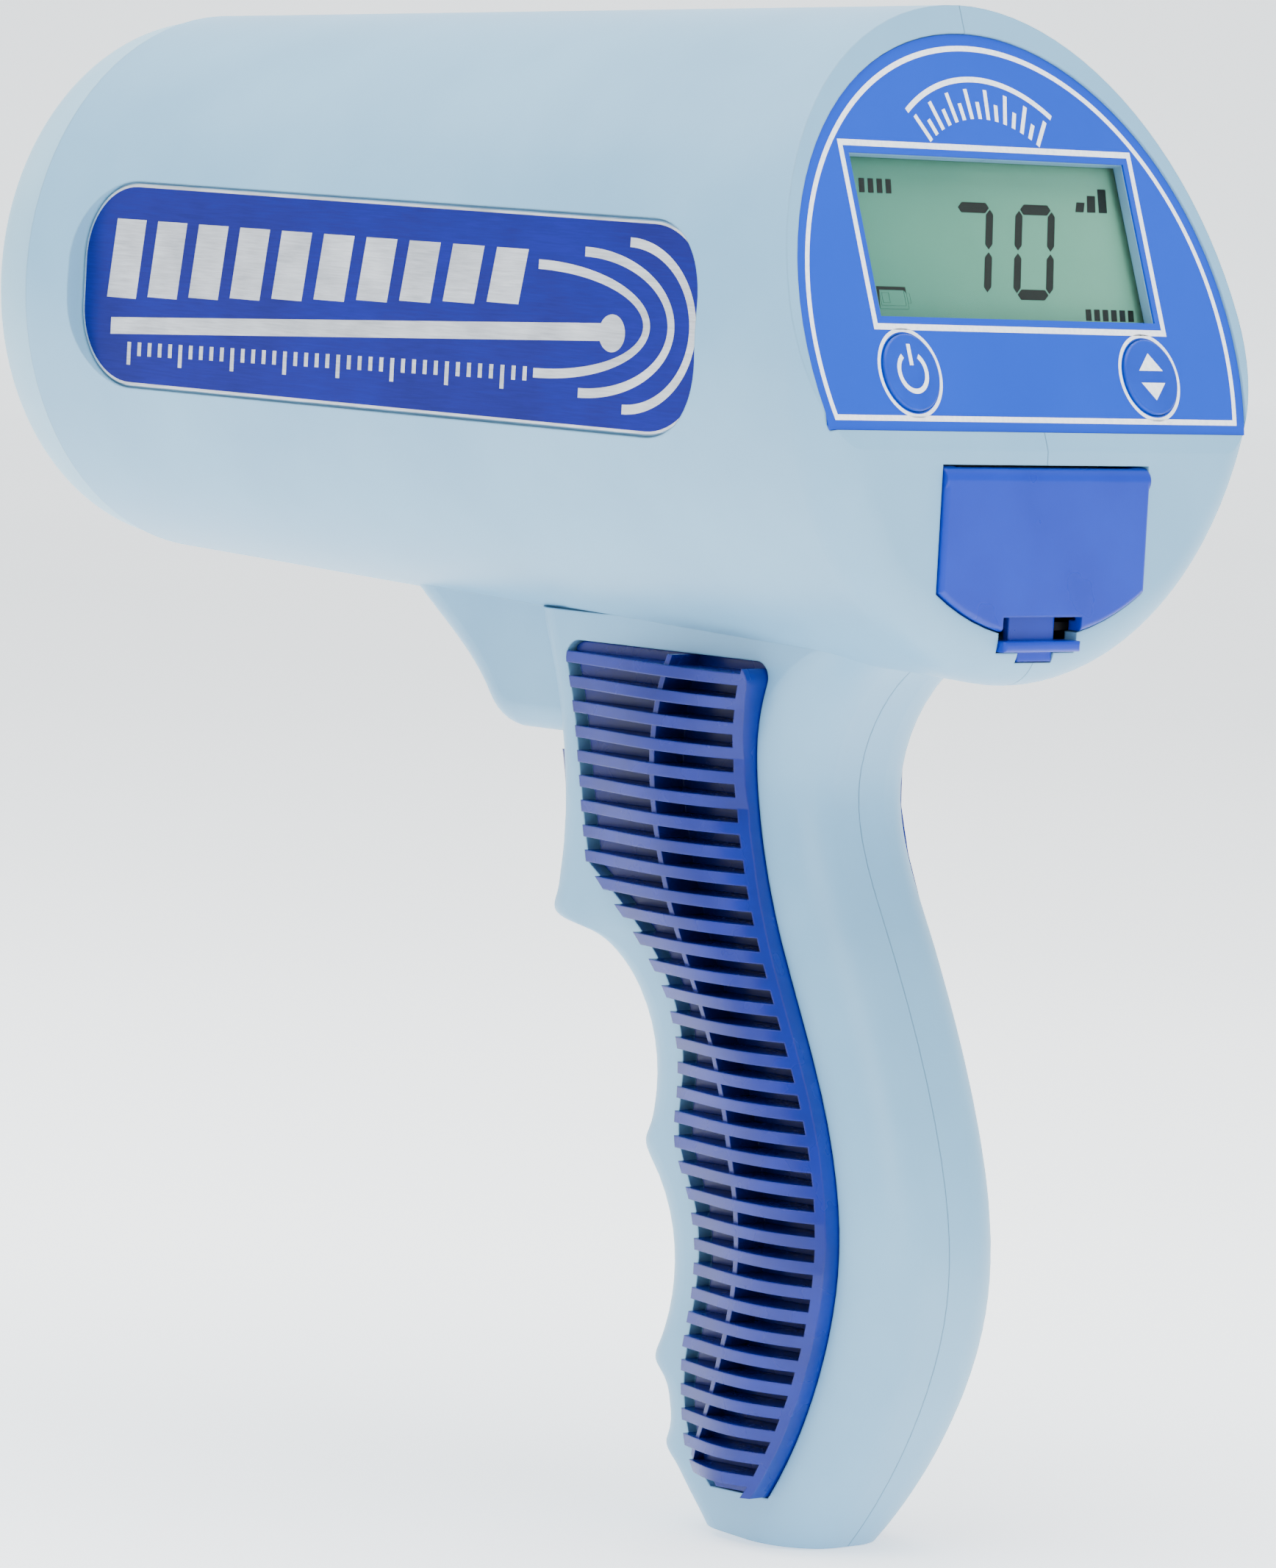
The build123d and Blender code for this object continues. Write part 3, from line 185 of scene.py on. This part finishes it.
# translucent ink over the brushed sheet: deep blue that keeps a trace of the streaks
inkLook = {"dark": "#00086c", "light": "#041088", "stretch": (1, 0.03, 1), "streakMm": 0.35, "mottleMm": 20,
           "rough": (0.26, 0.40), "relief": 0.3, "edgeMm": 0.05, "metal": 0.55}
# turned brass of the tripod bush
brassLook = {"dark": "#b08a3e", "light": "#d8b566", "stretch": (1, 1, 0.1), "streakMm": 0.4, "mottleMm": 5,
             "rough": (0.25, 0.4), "relief": 0.3, "edgeMm": 0.2}
# zinc-plated steel of screws and pins
steelLook = {"dark": "#7d8084", "light": "#a5a8ac", "stretch": (0.2, 1, 1), "streakMm": 0.5, "mottleMm": 4,
             "rough": (0.28, 0.42), "relief": 0.25, "edgeMm": 0.15}
# nickel-plated spring steel
springLook = {"dark": "#9c9c96", "light": "#c8c8c2", "stretch": (1, 1, 1), "streakMm": 0.6, "mottleMm": 3,
              "rough": (0.2, 0.34), "relief": 0.2, "edgeMm": 0.1}
# die-cast aluminium of the horn and the microwave block
castLook = {"dark": "#8f9296", "light": "#b6b9bc", "stretch": (1, 1, 1), "streakMm": 1.2, "mottleMm": 8,
            "rough": (0.42, 0.58), "relief": 0.5, "edgeMm": 0.4}


def printSurface(name, look):
    # screen-printed ink: a thin even layer with a slightly ragged density
    material, tree = newMaterial(name)
    where = addNode(tree, "ShaderNodeTexCoord").outputs["Object"]
    speck = addNode(tree, "ShaderNodeTexNoise", {"Vector": where}, Scale=1 / (look["speckMm"] * mm),
                    Detail=3.0).outputs["Fac"]
    colour = ramp(tree, speck, [(0.25, toLinear(look["dark"])), (0.6, toLinear(look["light"]))])
    bump = addNode(tree, "ShaderNodeBump", {"Height": speck}, Strength=0.1, Distance=0.02 * mm)
    shader = addNode(tree, "ShaderNodeBsdfPrincipled",
                     {"Base Color": colour, "Normal": bump.outputs["Normal"]}, Roughness=look["rough"])
    addNode(tree, "ShaderNodeOutputMaterial", {"Surface": shader.outputs["BSDF"]})
    return material


whiteInkLook = {"dark": "#dfe9f2", "light": "#f7fbff", "speckMm": 0.8, "rough": 0.38}
segmentLook = {"dark": "#06100c", "light": "#0a1812", "speckMm": 3.0, "rough": 0.5}


def displayGlass(look):
    # reflective liquid crystal cell: grey-green with a random mottle, plus painted shade that darkens it
    # towards the left
    material, tree = newMaterial("lcd_cell")
    where = addNode(tree, "ShaderNodeTexCoord").outputs["Object"]
    part = addNode(tree, "ShaderNodeSeparateXYZ", {"Vector": where})
    # painted shade: a ramp along X that darkens the left side of the cell
    slope = addNode(tree, "ShaderNodeMapRange", {"Value": part.outputs["X"]}, From_Min=-look["half"],
                    From_Max=look["half"]).outputs["Result"]
    cloud = addNode(tree, "ShaderNodeTexNoise", {"Vector": where}, Scale=1 / (look["mottleMm"] * mm),
                    Detail=2.0).outputs["Fac"]
    blend = addNode(tree, "ShaderNodeMix", {"A": slope, "B": cloud}, data_type="FLOAT",
                    Factor=0.3).outputs["Result"]
    colour = ramp(tree, blend, [(0.1, toLinear(look["dark"])), (0.9, toLinear(look["light"]))])
    shader = addNode(tree, "ShaderNodeBsdfPrincipled", {"Base Color": colour}, Roughness=0.45, IOR=1.5,
                     Specular_IOR_Level=0.15)
    addNode(tree, "ShaderNodeOutputMaterial", {"Surface": shader.outputs["BSDF"]})
    return material


# the dark end of the ramp is painted shade on the cell's left side
lcdLook = {"dark": "#4c8c78", "light": "#74b298", "half": 0.037, "mottleMm": 25}


def clearAcrylic():
    # polished acrylic window: almost all light passes, and only gloss and faint scuffs show
    material, tree = newMaterial("clear_acrylic")
    where = addNode(tree, "ShaderNodeTexCoord").outputs["Object"]
    scuff = addNode(tree, "ShaderNodeTexNoise", {"Vector": where}, Scale=1 / (6 * mm), Detail=5.0)
    gloss = addNode(tree, "ShaderNodeMapRange", {"Value": scuff.outputs["Fac"]}, To_Min=0.04, To_Max=0.14)
    shader = addNode(tree, "ShaderNodeBsdfPrincipled", {"Roughness": gloss.outputs["Result"]},
                     Base_Color=toLinear("#0c1210"), IOR=1.49, Alpha=0.10)
    addNode(tree, "ShaderNodeOutputMaterial", {"Surface": shader.outputs["BSDF"]})
    return material


def circuitBoard(look):
    # glass-epoxy board under green solder mask, with copper tracks showing darker and lighter
    material, tree = newMaterial("circuit_board")
    where = addNode(tree, "ShaderNodeTexCoord").outputs["Object"]
    tracks = addNode(tree, "ShaderNodeTexBrick", {"Vector": where}, Scale=1 / (look["trackMm"] * mm),
                     Color1=toLinear(look["mask"]), Color2=toLinear(look["copper"]),
                     Mortar=toLinear(look["gap"]), Mortar_Size=0.03).outputs["Color"]
    shader = addNode(tree, "ShaderNodeBsdfPrincipled", {"Base Color": tracks}, Roughness=0.35,
                     Coat_Weight=0.3)
    addNode(tree, "ShaderNodeOutputMaterial", {"Surface": shader.outputs["BSDF"]})
    return material


boardLook = {"mask": "#0f5a35", "copper": "#1b7a48", "gap": "#0a3f26", "trackMm": 9}

materials = {
    "housing": plasticSurface("moulded_abs_housing", housingLook),
    "radome": plasticSurface("moulded_polyethylene", radomeLook),
    "film": plasticSurface("printed_polycarbonate_film", filmLook),
    "door": plasticSurface("gloss_abs_door", doorLook),
    "grip": plasticSurface("gloss_abs_grip", gripLook),
    "key": plasticSurface("moulded_abs_key", keyLook),
    "inner": plasticSurface("moulded_nylon", innerLook),
    "epoxy": plasticSurface("moulded_epoxy", epoxyLook),
    "rubber": plasticSurface("conductive_rubber", rubberLook),
    "cell": plasticSurface("shrink_sleeve", sleeveLook),
    "plate": metalSurface("brushed_aluminium", plateLook),
    "ink": metalSurface("ink_on_aluminium", inkLook),
    "brass": metalSurface("turned_brass", brassLook),
    "steel": metalSurface("zinc_plated_steel", steelLook),
    "spring": metalSurface("nickel_spring_steel", springLook),
    "cast": metalSurface("cast_aluminium", castLook),
    "white": printSurface("white_screen_ink", whiteInkLook),
    "segment": printSurface("lcd_segment", segmentLook),
    "lcd": displayGlass(lcdLook),
    "window": clearAcrylic(),
    "board": circuitBoard(boardLook),
}

finishes = {
    "housing": ["left_housing", "right_housing"],
    "radome": ["radome"],
    "film": ["control_overlay"],
    "door": ["battery_door", "door_latch"],
    "grip": ["left_grip_insert", "right_grip_insert", "trigger"],
    "key": ["power_key", "select_key"],
    "inner": ["battery_sleeve", "lcd_bezel", "power_switch_button", "select_switch_button", "switch_plunger"],
    "epoxy": ["power_switch", "select_switch", "trigger_switch", "board_components"],
    "rubber": ["zebra_strips"],
    "cell": ["battery_left", "battery_right"],
    "plate": ["left_nameplate", "right_nameplate"],
    "brass": ["tripod_bush", "tuning_screw"],
    "steel": ["housing_screws", "display_screws", "antenna_screws", "trigger_pin", "door_hinge_pins"],
    "spring": ["battery_spring", "trigger_spring", "latch_spring", "battery_terminals", "door_contact_strip"],
    "cast": ["horn_antenna", "transceiver_block"],
    "lcd": ["lcd_glass"],
    "window": ["display_window"],
    "board": ["main_board", "display_board"],
}

for finish, nodes in finishes.items():
    for node in nodes:
        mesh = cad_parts[node].data
        mesh.materials.clear()
        mesh.materials.append(materials[finish])
print("finishes on", sum(len(nodes) for nodes in finishes.values()), "nodes")


# Return springs: each coil is copied into a piece of its own, carried by its body
returnSprings = {
    "trigger_spring": {"joint": "trigger_pull", "axis": (0, 1, 0), "anchor": (0, 0.0418, 0), "keep": 0.86,
                       "body": "housing", "piece": "trigger_return_spring"},
    "latch_spring": {"joint": "latch_slide", "axis": (0, 0, 1), "anchor": (0, 0, 0.1746), "keep": 0.68,
                     "body": "door", "piece": "latch_return_spring"},
}
for node, s in returnSprings.items():
    coil = bpy.data.objects.new(s["piece"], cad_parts[node].data.copy())
    bpy.context.scene.collection.objects.link(coil)
    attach(coil, s["body"])
    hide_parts(node)
    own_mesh(coil)
print("return springs made")


# Prints: flat shapes laid on a face
def printShape(name, outlines, place, thick, finish, body):
    # outlines are closed loops in millimetres, and a loop inside another is a hole
    curve = bpy.data.curves.new(name, "CURVE")
    curve.dimensions, curve.fill_mode, curve.extrude = "2D", "BOTH", thick * mm / 2
    for loop in outlines:
        spline = curve.splines.new("POLY")
        spline.points.add(len(loop) - 1)
        for point, (x, y) in zip(spline.points, loop):
            point.co = (x * mm, y * mm, 0, 1)
        spline.use_cyclic_u = True
    holder = bpy.data.objects.new(name + "_curve", curve)
    bpy.context.scene.collection.objects.link(holder)
    depsgraph = bpy.context.evaluated_depsgraph_get()
    mesh = bpy.data.meshes.new_from_object(holder.evaluated_get(depsgraph))
    bpy.data.objects.remove(holder)
    bpy.data.curves.remove(curve)
    shape = bmesh.new()
    shape.from_mesh(mesh)
    bmesh.ops.remove_doubles(shape, verts=shape.verts, dist=0.001 * mm)
    bmesh.ops.transform(shape, matrix=place @ Matrix.Translation((0, 0, thick * mm / 2)), verts=shape.verts)
    bmesh.ops.recalc_face_normals(shape, faces=shape.faces)
    shape.to_mesh(mesh)
    shape.free()
    mesh.materials.clear()
    mesh.materials.append(materials[finish])
    piece = bpy.data.objects.new(name, mesh)
    bpy.context.scene.collection.objects.link(piece)
    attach(piece, body)


def bar(x0, y0, x1, y1, lean=0.0):
    # a rectangle whose top is moved to the right by lean
    return [(x0, y0), (x1, y0), (x1 + lean, y1), (x0 + lean, y1)]


def arc(x, y, radius, start, end, count):
    turns = [math.radians(start + (end - start) * i / count) for i in range(count + 1)]
    return [(x + radius * math.cos(t), y + radius * math.sin(t)) for t in turns]


def circle(x, y, radius, count=64):
    return arc(x, y, radius, 0, 360, count)[:-1]


def band(x, y, inner, outer, start, end, count=32):
    return arc(x, y, outer, start, end, count) + arc(x, y, inner, end, start, count)


def roundedBox(width, height, radius, count=10):
    loop = []
    for sx, sy, start in ((1, 1, 0), (-1, 1, 90), (-1, -1, 180), (1, -1, 270)):
        loop += arc(sx * (width / 2 - radius), sy * (height / 2 - radius), radius, start, start + 90, count)
    return loop


def domeLoop(centre, radius, low):
    # a circle about (0, centre), cut off level at low
    drop = math.degrees(math.asin((centre - low) / radius))
    return arc(0, centre, radius, -drop, 180 + drop, 96)


# Control label
label = {"tilt": 19.2, "film": 0.4, "bottom": 3.5, "centre": 18.95, "lift": 0.01, "ink": 0.04,
         "lineOuter": 54.9, "lineInner": 53.9, "lineLow": 5.2, "lineHigh": 6.2,
         "frameX": (37.6, 38.7), "frameLow": (22.6, 21.5), "frameHigh": (54.5, 55.6),
         "keyX": 31.7, "keyY": 13.8, "keyRing": (7.35, 8.05), "lcdDrop": 4.0}
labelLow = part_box("control_overlay")[0]
tilt = math.radians(label["tilt"])
labelFace = Matrix((
    (1, 0, 0, 0),
    (0, math.sin(tilt), -math.cos(tilt), labelLow[1]),
    (0, math.cos(tilt), math.sin(tilt), labelLow[2] + label["film"] * mm * math.sin(tilt)),
    (0, 0, 0, 1),
))
labelFace = labelFace @ Matrix.Translation((0, -label["bottom"] * mm, 0))     # height counts from the crease


def lifted(place, height):
    return place @ Matrix.Translation((0, 0, height * mm))


def makeLabelPrint(s):
    onFilm = lifted(labelFace, s["lift"])
    printShape("label_line", [domeLoop(s["centre"], s["lineOuter"], s["lineLow"]),
                              domeLoop(s["centre"], s["lineInner"], s["lineHigh"])],
               onFilm, s["ink"], "white", "housing")
    inner, outer = s["frameX"]
    printShape("display_frame_line", [bar(-outer, s["frameLow"][1], outer, s["frameHigh"][1]),
                                      bar(-inner, s["frameLow"][0], inner, s["frameHigh"][0])],
               onFilm, s["ink"], "white", "housing")
    for side, name in ((-1, "power"), (1, "select")):
        x = side * s["keyX"]
        printShape(name + "_key_ring", [circle(x, s["keyY"], s["keyRing"][1]),
                                        circle(x, s["keyY"], s["keyRing"][0])],
                   onFilm, s["ink"], "white", "housing")


makeLabelPrint(label)

gauge = {"centre": 36.0, "inner": 24.5, "short": 27.6, "long": 30.0, "step": 5, "half": 35, "width": 0.9,
         "rail": (31.2, 32.2)}


def makeGauge(s):
    # a plain scale of ticks under an arc stands in the heading's place
    ticks = []
    for turn in range(-s["half"], s["half"] + 1, s["step"]):
        end = s["long"] if turn % 10 == 5 else s["short"]
        angle = math.radians(90 - turn)
        across = (-math.sin(angle) * s["width"] / 2, math.cos(angle) * s["width"] / 2)
        near = (s["inner"] * math.cos(angle), s["centre"] + s["inner"] * math.sin(angle))
        far = (end * math.cos(angle), s["centre"] + end * math.sin(angle))
        ticks.append([(near[0] + across[0], near[1] + across[1]), (near[0] - across[0], near[1] - across[1]),
                      (far[0] - across[0], far[1] - across[1]), (far[0] + across[0], far[1] + across[1])])
    ticks.append(band(0, s["centre"], *s["rail"], 90 - s["half"] - 2, 90 + s["half"] + 2))
    printShape("label_scale", ticks, lifted(labelFace, label["lift"]), label["ink"], "white", "housing")


makeGauge(gauge)

keyMarks = {"proud": 0.7, "ring": (3.0, 3.9), "stem": (0.45, 1.2, 5.0), "arrow": 3.2, "gap": 1.1}


def makeKeyMarks(s):
    # a power sign on one key and up and down arrows on the other, riding on the keys
    onKey = lifted(labelFace, s["proud"] + label["lift"])
    x, y = -label["keyX"], label["keyY"]
    half, low, high = s["stem"]
    printShape("power_mark", [band(x, y, *s["ring"], 125, 415), bar(x - half, y + low, x + half, y + high)],
               onKey, label["ink"], "white", "power_button")
    x, size, gap = label["keyX"], s["arrow"], s["gap"]
    up = [(x - size, y + gap), (x + size, y + gap), (x, y + gap + size)]
    down = [(x - size, y - gap), (x, y - gap - size), (x + size, y - gap)]
    printShape("select_mark", [up, down], onKey, label["ink"], "white", "select_button")


makeKeyMarks(keyMarks)

digits = {"width": 10.6, "height": 17.6, "thick": 1.9, "gap": 0.25, "lean": 0.33, "left": (-12.6, 3.9),
          "low": 28.8, "show": ("abc", "abcdef"), "film": 0.05}
# a row repeats one bar: corners of the first, step to the right, step up of its top, lean and count
displayRows = {
    "unitSign": {"first": (25.5, 45.4, 27.7, 47.2), "step": 3.2, "taller": 1.3, "lean": 0.8, "count": 3},
    "dashes": {"first": (-31.0, 47.4, -29.6, 50.0), "step": 2.3, "taller": 0.0, "lean": 0.5, "count": 4},
    "dots": {"first": (22.5, 25.3, 24.0, 27.4), "step": 2.3, "taller": 0.0, "lean": 0.4, "count": 6},
}
# a nearly empty cell: outside, inside, nub and charge
displayCell = [(-31.5, 26.5, -24.0, 30.5), (-30.9, 27.1, -24.6, 29.9), (-24.0, 27.6, -23.2, 29.4),
               (-30.4, 27.6, -28.6, 29.4)]


def digitLoops(x, y, lit, s):
    # seven pointed bars that meet at the corners with a small gap, leaning to the right
    w, h, half, gap = s["width"], s["height"], s["thick"] / 2, s["gap"]
    left, right, low, middle, high = half, w - half, half, h / 2, h - half
    runs = {
        "a": ((left, high), (right, high)), "g": ((left, middle), (right, middle)),
        "d": ((left, low), (right, low)),
        "f": ((left, middle), (left, high)), "b": ((right, middle), (right, high)),
        "e": ((left, low), (left, middle)), "c": ((right, low), (right, middle)),
    }
    loops = []
    for letter in lit:
        (x0, y0), (x1, y1) = runs[letter]
        dx, dy = (1, 0) if letter in "adg" else (0, 1)
        x0, y0, x1, y1 = x0 + dx * gap, y0 + dy * gap, x1 - dx * gap, y1 - dy * gap
        loop = [(x0, y0), (x0 + half * (dx + dy), y0 + half * (dx + dy)),
                (x1 - half * (dx - dy), y1 + half * (dx - dy)), (x1, y1),
                (x1 - half * (dx + dy), y1 - half * (dx + dy)),
                (x0 + half * (dx - dy), y0 - half * (dx - dy))]
        loops.append([(x + px + s["lean"] * py, y + py) for px, py in loop])
    return loops


def makeDisplay(s):
    loops = []
    for x, lit in zip(s["left"], s["show"]):
        loops += digitLoops(x, s["low"], lit, s)
    rows = []
    for row in displayRows.values():
        x0, y0, x1, y1 = row["first"]
        steps = [(row["step"] * i, row["taller"] * i) for i in range(row["count"])]
        rows.append([bar(x0 + dx, y0, x1 + dx, y1 + dy, row["lean"]) for dx, dy in steps])
    unitSign, dashes, dots = rows
    loops += unitSign + dashes + [bar(*corners) for corners in displayCell] + dots
    place = lifted(labelFace, -label["lcdDrop"] + label["lift"])
    printShape("lcd_segments", loops, place, s["film"], "segment", "housing")


makeDisplay(digits)
print("label, gauge, key marks and display made")


# Side plates
plate = {"length": 167.0, "height": 37.4, "corner": 14.5, "rim": 0.7, "thick": 0.8, "taper": 2.557,
         "ink": 0.03, "lift": 0.005,
         "bars": 10, "barStep": 11.5, "barWide": 8.2, "barLeft": -76.5, "barLow": (-2.6, 2.2),
         "barHigh": 12.0, "lean": 2.0,
         "rule": (-75.0, 59.0), "ruleLow": (-9.4, -3.0), "ruleThick": 3.1, "ball": (59.5, -1.5, 3.3),
         "ruleShort": 2.5,
         "ticks": 38, "tickLeft": -70.0, "tickStep": 2.9, "tickHigh": -10.6, "tickWide": 1.0,
         "tickLong": 4.2, "tickShort": 2.5, "tickRise": 0.4, "longEvery": 5,
         "waves": ((40.0, 29.0, 10.4), (51.7, 23.4, 13.2), (63.0, 17.5, 15.4)), "waveWide": 1.7}


def plateFace(side):
    low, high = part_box("left_nameplate" if side < 0 else "right_nameplate")
    middle = (Vector(low) + Vector(high)) / 2
    slope = math.radians(plate["taper"])
    normal = Vector((side * math.cos(slope), math.sin(slope), 0))
    right = Vector((0, 0, 1)).cross(normal)
    origin = middle + normal * plate["thick"] * mm / 2
    return Matrix.Translation(origin) @ Matrix((right, (0, 0, 1), normal)).transposed().to_4x4()


def makePlate(side, name):
    face = lifted(plateFace(side), plate["lift"])
    width, height, corner, rim = plate["length"], plate["height"], plate["corner"], plate["rim"]
    printShape(name + "_ink", [roundedBox(width - 2 * rim, height - 2 * rim, corner - rim, 16)],
               face, plate["ink"], "ink", "housing")
    onInk = lifted(face, plate["ink"] + plate["lift"])
    rise = (plate["ruleLow"][1] - plate["ruleLow"][0]) / (plate["rule"][1] - plate["rule"][0])
    marks = []
    for i in range(plate["bars"]):                               # slanted bars on a rising line
        x = plate["barLeft"] + i * plate["barStep"]
        low = plate["barLow"][0] + (plate["barLow"][1] - plate["barLow"][0]) * i / (plate["bars"] - 1)
        marks.append(bar(x, low, x + plate["barWide"], plate["barHigh"], plate["lean"]))
    (x0, x1), (y0, y1) = plate["rule"], plate["ruleLow"]
    x, y, radius = plate["ball"]
    turn = math.degrees(math.asin(plate["ruleThick"] / 2 / radius))
    end = x1 - plate["ruleShort"]
    marks.append([(x0, y0), (end, y1), *arc(x, y, radius, -180 + turn, 180 - turn, 40),
                  (end, y1 + plate["ruleThick"]), (x0, y0 + plate["ruleThick"])])
    for i in range(plate["ticks"]):                              # a ruler's ticks below the rule
        x = plate["tickLeft"] + i * plate["tickStep"]
        high = plate["tickHigh"] + i * plate["tickStep"] * rise * plate["tickRise"]
        tall = plate["tickShort"] if i % plate["longEvery"] else plate["tickLong"]
        marks.append(bar(x, high - tall, x + plate["tickWide"], high))
    for x, reach, half in plate["waves"]:                        # widening waves at the end of the rule
        turns = [math.radians(-90 + 180 * i / 48) for i in range(49)]
        wide = plate["waveWide"]
        outer = [(x + reach * math.cos(t), half * math.sin(t)) for t in turns]
        inner = [(x + (reach - wide) * math.cos(t), (half - wide) * math.sin(t)) for t in reversed(turns)]
        marks.append(outer + inner)
    printShape(name + "_marks", marks, onInk, plate["ink"], "plate", "housing")


makePlate(-1, "left_plate")
makePlate(1, "right_plate")
print("side plates made")


# Studio
studio = {"floor": 16.0, "bend": 1.5, "high": 5.0, "turn": -46, "below": 0.2, "bendSteps": 16,
          "floorShade": ("#f2f6f8", "#fbfdfe"), "world": "#f4f8fb", "worldPower": 1.0, "glow": 1.0}


def makeFloor(s):
    # a pale sweep: flat floor that curves up into the backdrop behind the gun
    material, tree = newMaterial("studio_floor")
    where = addNode(tree, "ShaderNodeTexCoord").outputs["Object"]
    cloud = addNode(tree, "ShaderNodeTexNoise", {"Vector": where}, Scale=1.5, Detail=2.0).outputs["Fac"]
    colour = ramp(tree, cloud, [(0.3, toLinear(s["floorShade"][0])), (0.7, toLinear(s["floorShade"][1]))])
    shader = addNode(tree, "ShaderNodeBsdfPrincipled", {"Base Color": colour}, Roughness=0.9,
                     Emission_Color=toLinear(s["world"]), Emission_Strength=s["glow"])
    addNode(tree, "ShaderNodeOutputMaterial", {"Surface": shader.outputs["BSDF"]})
    low = cadBox[0][2] - s["below"] * mm
    far, bend, high = s["floor"] / 2, s["bend"], s["high"]
    line = [(-far, low), (far - bend, low)]
    line += [(far - bend + bend * math.sin(t), low + bend * (1 - math.cos(t)))
             for t in [math.radians(90 * i / s["bendSteps"]) for i in range(1, s["bendSteps"] + 1)]]
    line.append((far, low + high))
    turn = math.radians(s["turn"])
    across = Vector((math.cos(turn), math.sin(turn), 0))
    away = Vector((-across.y, across.x, 0))
    shape = bmesh.new()
    rows = [[shape.verts.new(across * side * far + away * y + Vector((0, 0, z))) for side in (-1, 1)]
            for y, z in line]
    for (a, b), (c, d) in zip(rows, rows[1:]):
        shape.faces.new((a, b, d, c)).smooth = True
    mesh = bpy.data.meshes.new("studio_floor")
    shape.to_mesh(mesh)
    shape.free()
    mesh.materials.append(material)
    floor = bpy.data.objects.new("studio_floor", mesh)
    bpy.context.scene.collection.objects.link(floor)


def makeWorld(s):
    world = bpy.data.worlds.new("studio")
    world.use_nodes = True
    back = world.node_tree.nodes["Background"]
    back.inputs["Color"].default_value = toLinear(s["world"])
    back.inputs["Strength"].default_value = s["worldPower"]
    bpy.context.scene.world = world


def addSoftbox(name, place, aim, size, power, shade):
    light = bpy.data.lights.new(name, "AREA")
    light.shape, light.size, light.size_y = "RECTANGLE", size[0], size[1]
    light.energy, light.color = power, toLinear(shade)[:3]
    box = bpy.data.objects.new(name, light)
    box.location = place
    box.rotation_euler = (Vector(aim) - Vector(place)).to_track_quat("-Z", "Y").to_euler()
    bpy.context.scene.collection.objects.link(box)


makeFloor(studio)
makeWorld(studio)
centre = (Vector(cadBox[0]) + Vector(cadBox[1])) / 2
lights = {
    "overhead": ((-0.1, 0.1, 1.3), (1.5, 1.5), 42.0, "#ffffff"),
    "rear": ((-0.2, -1.6, 0.9), (0.9, 1.2), 15.0, "#fbfdff"),
    "left_strip": ((-1.3, 0.5, 0.7), (0.5, 1.2), 4.0, "#f3f9ff"),
}
for name, (place, size, power, shade) in lights.items():
    addSoftbox(name, place, centre, size, power, shade)

view = {"place": (-1.1625, -1.0537, 0.2582), "turn": (85.435, -3.112, -46.219), "lens": 202.5}
camera = bpy.data.objects.new("camera", bpy.data.cameras.new("camera"))
camera.data.lens, camera.data.sensor_width = view["lens"], 36
camera.data.clip_start, camera.data.clip_end = 0.05, 30
camera.location = view["place"]
camera.rotation_euler = Euler([math.radians(a) for a in view["turn"]])
bpy.context.scene.collection.objects.link(camera)
bpy.context.scene.camera = camera
print("studio and camera set")
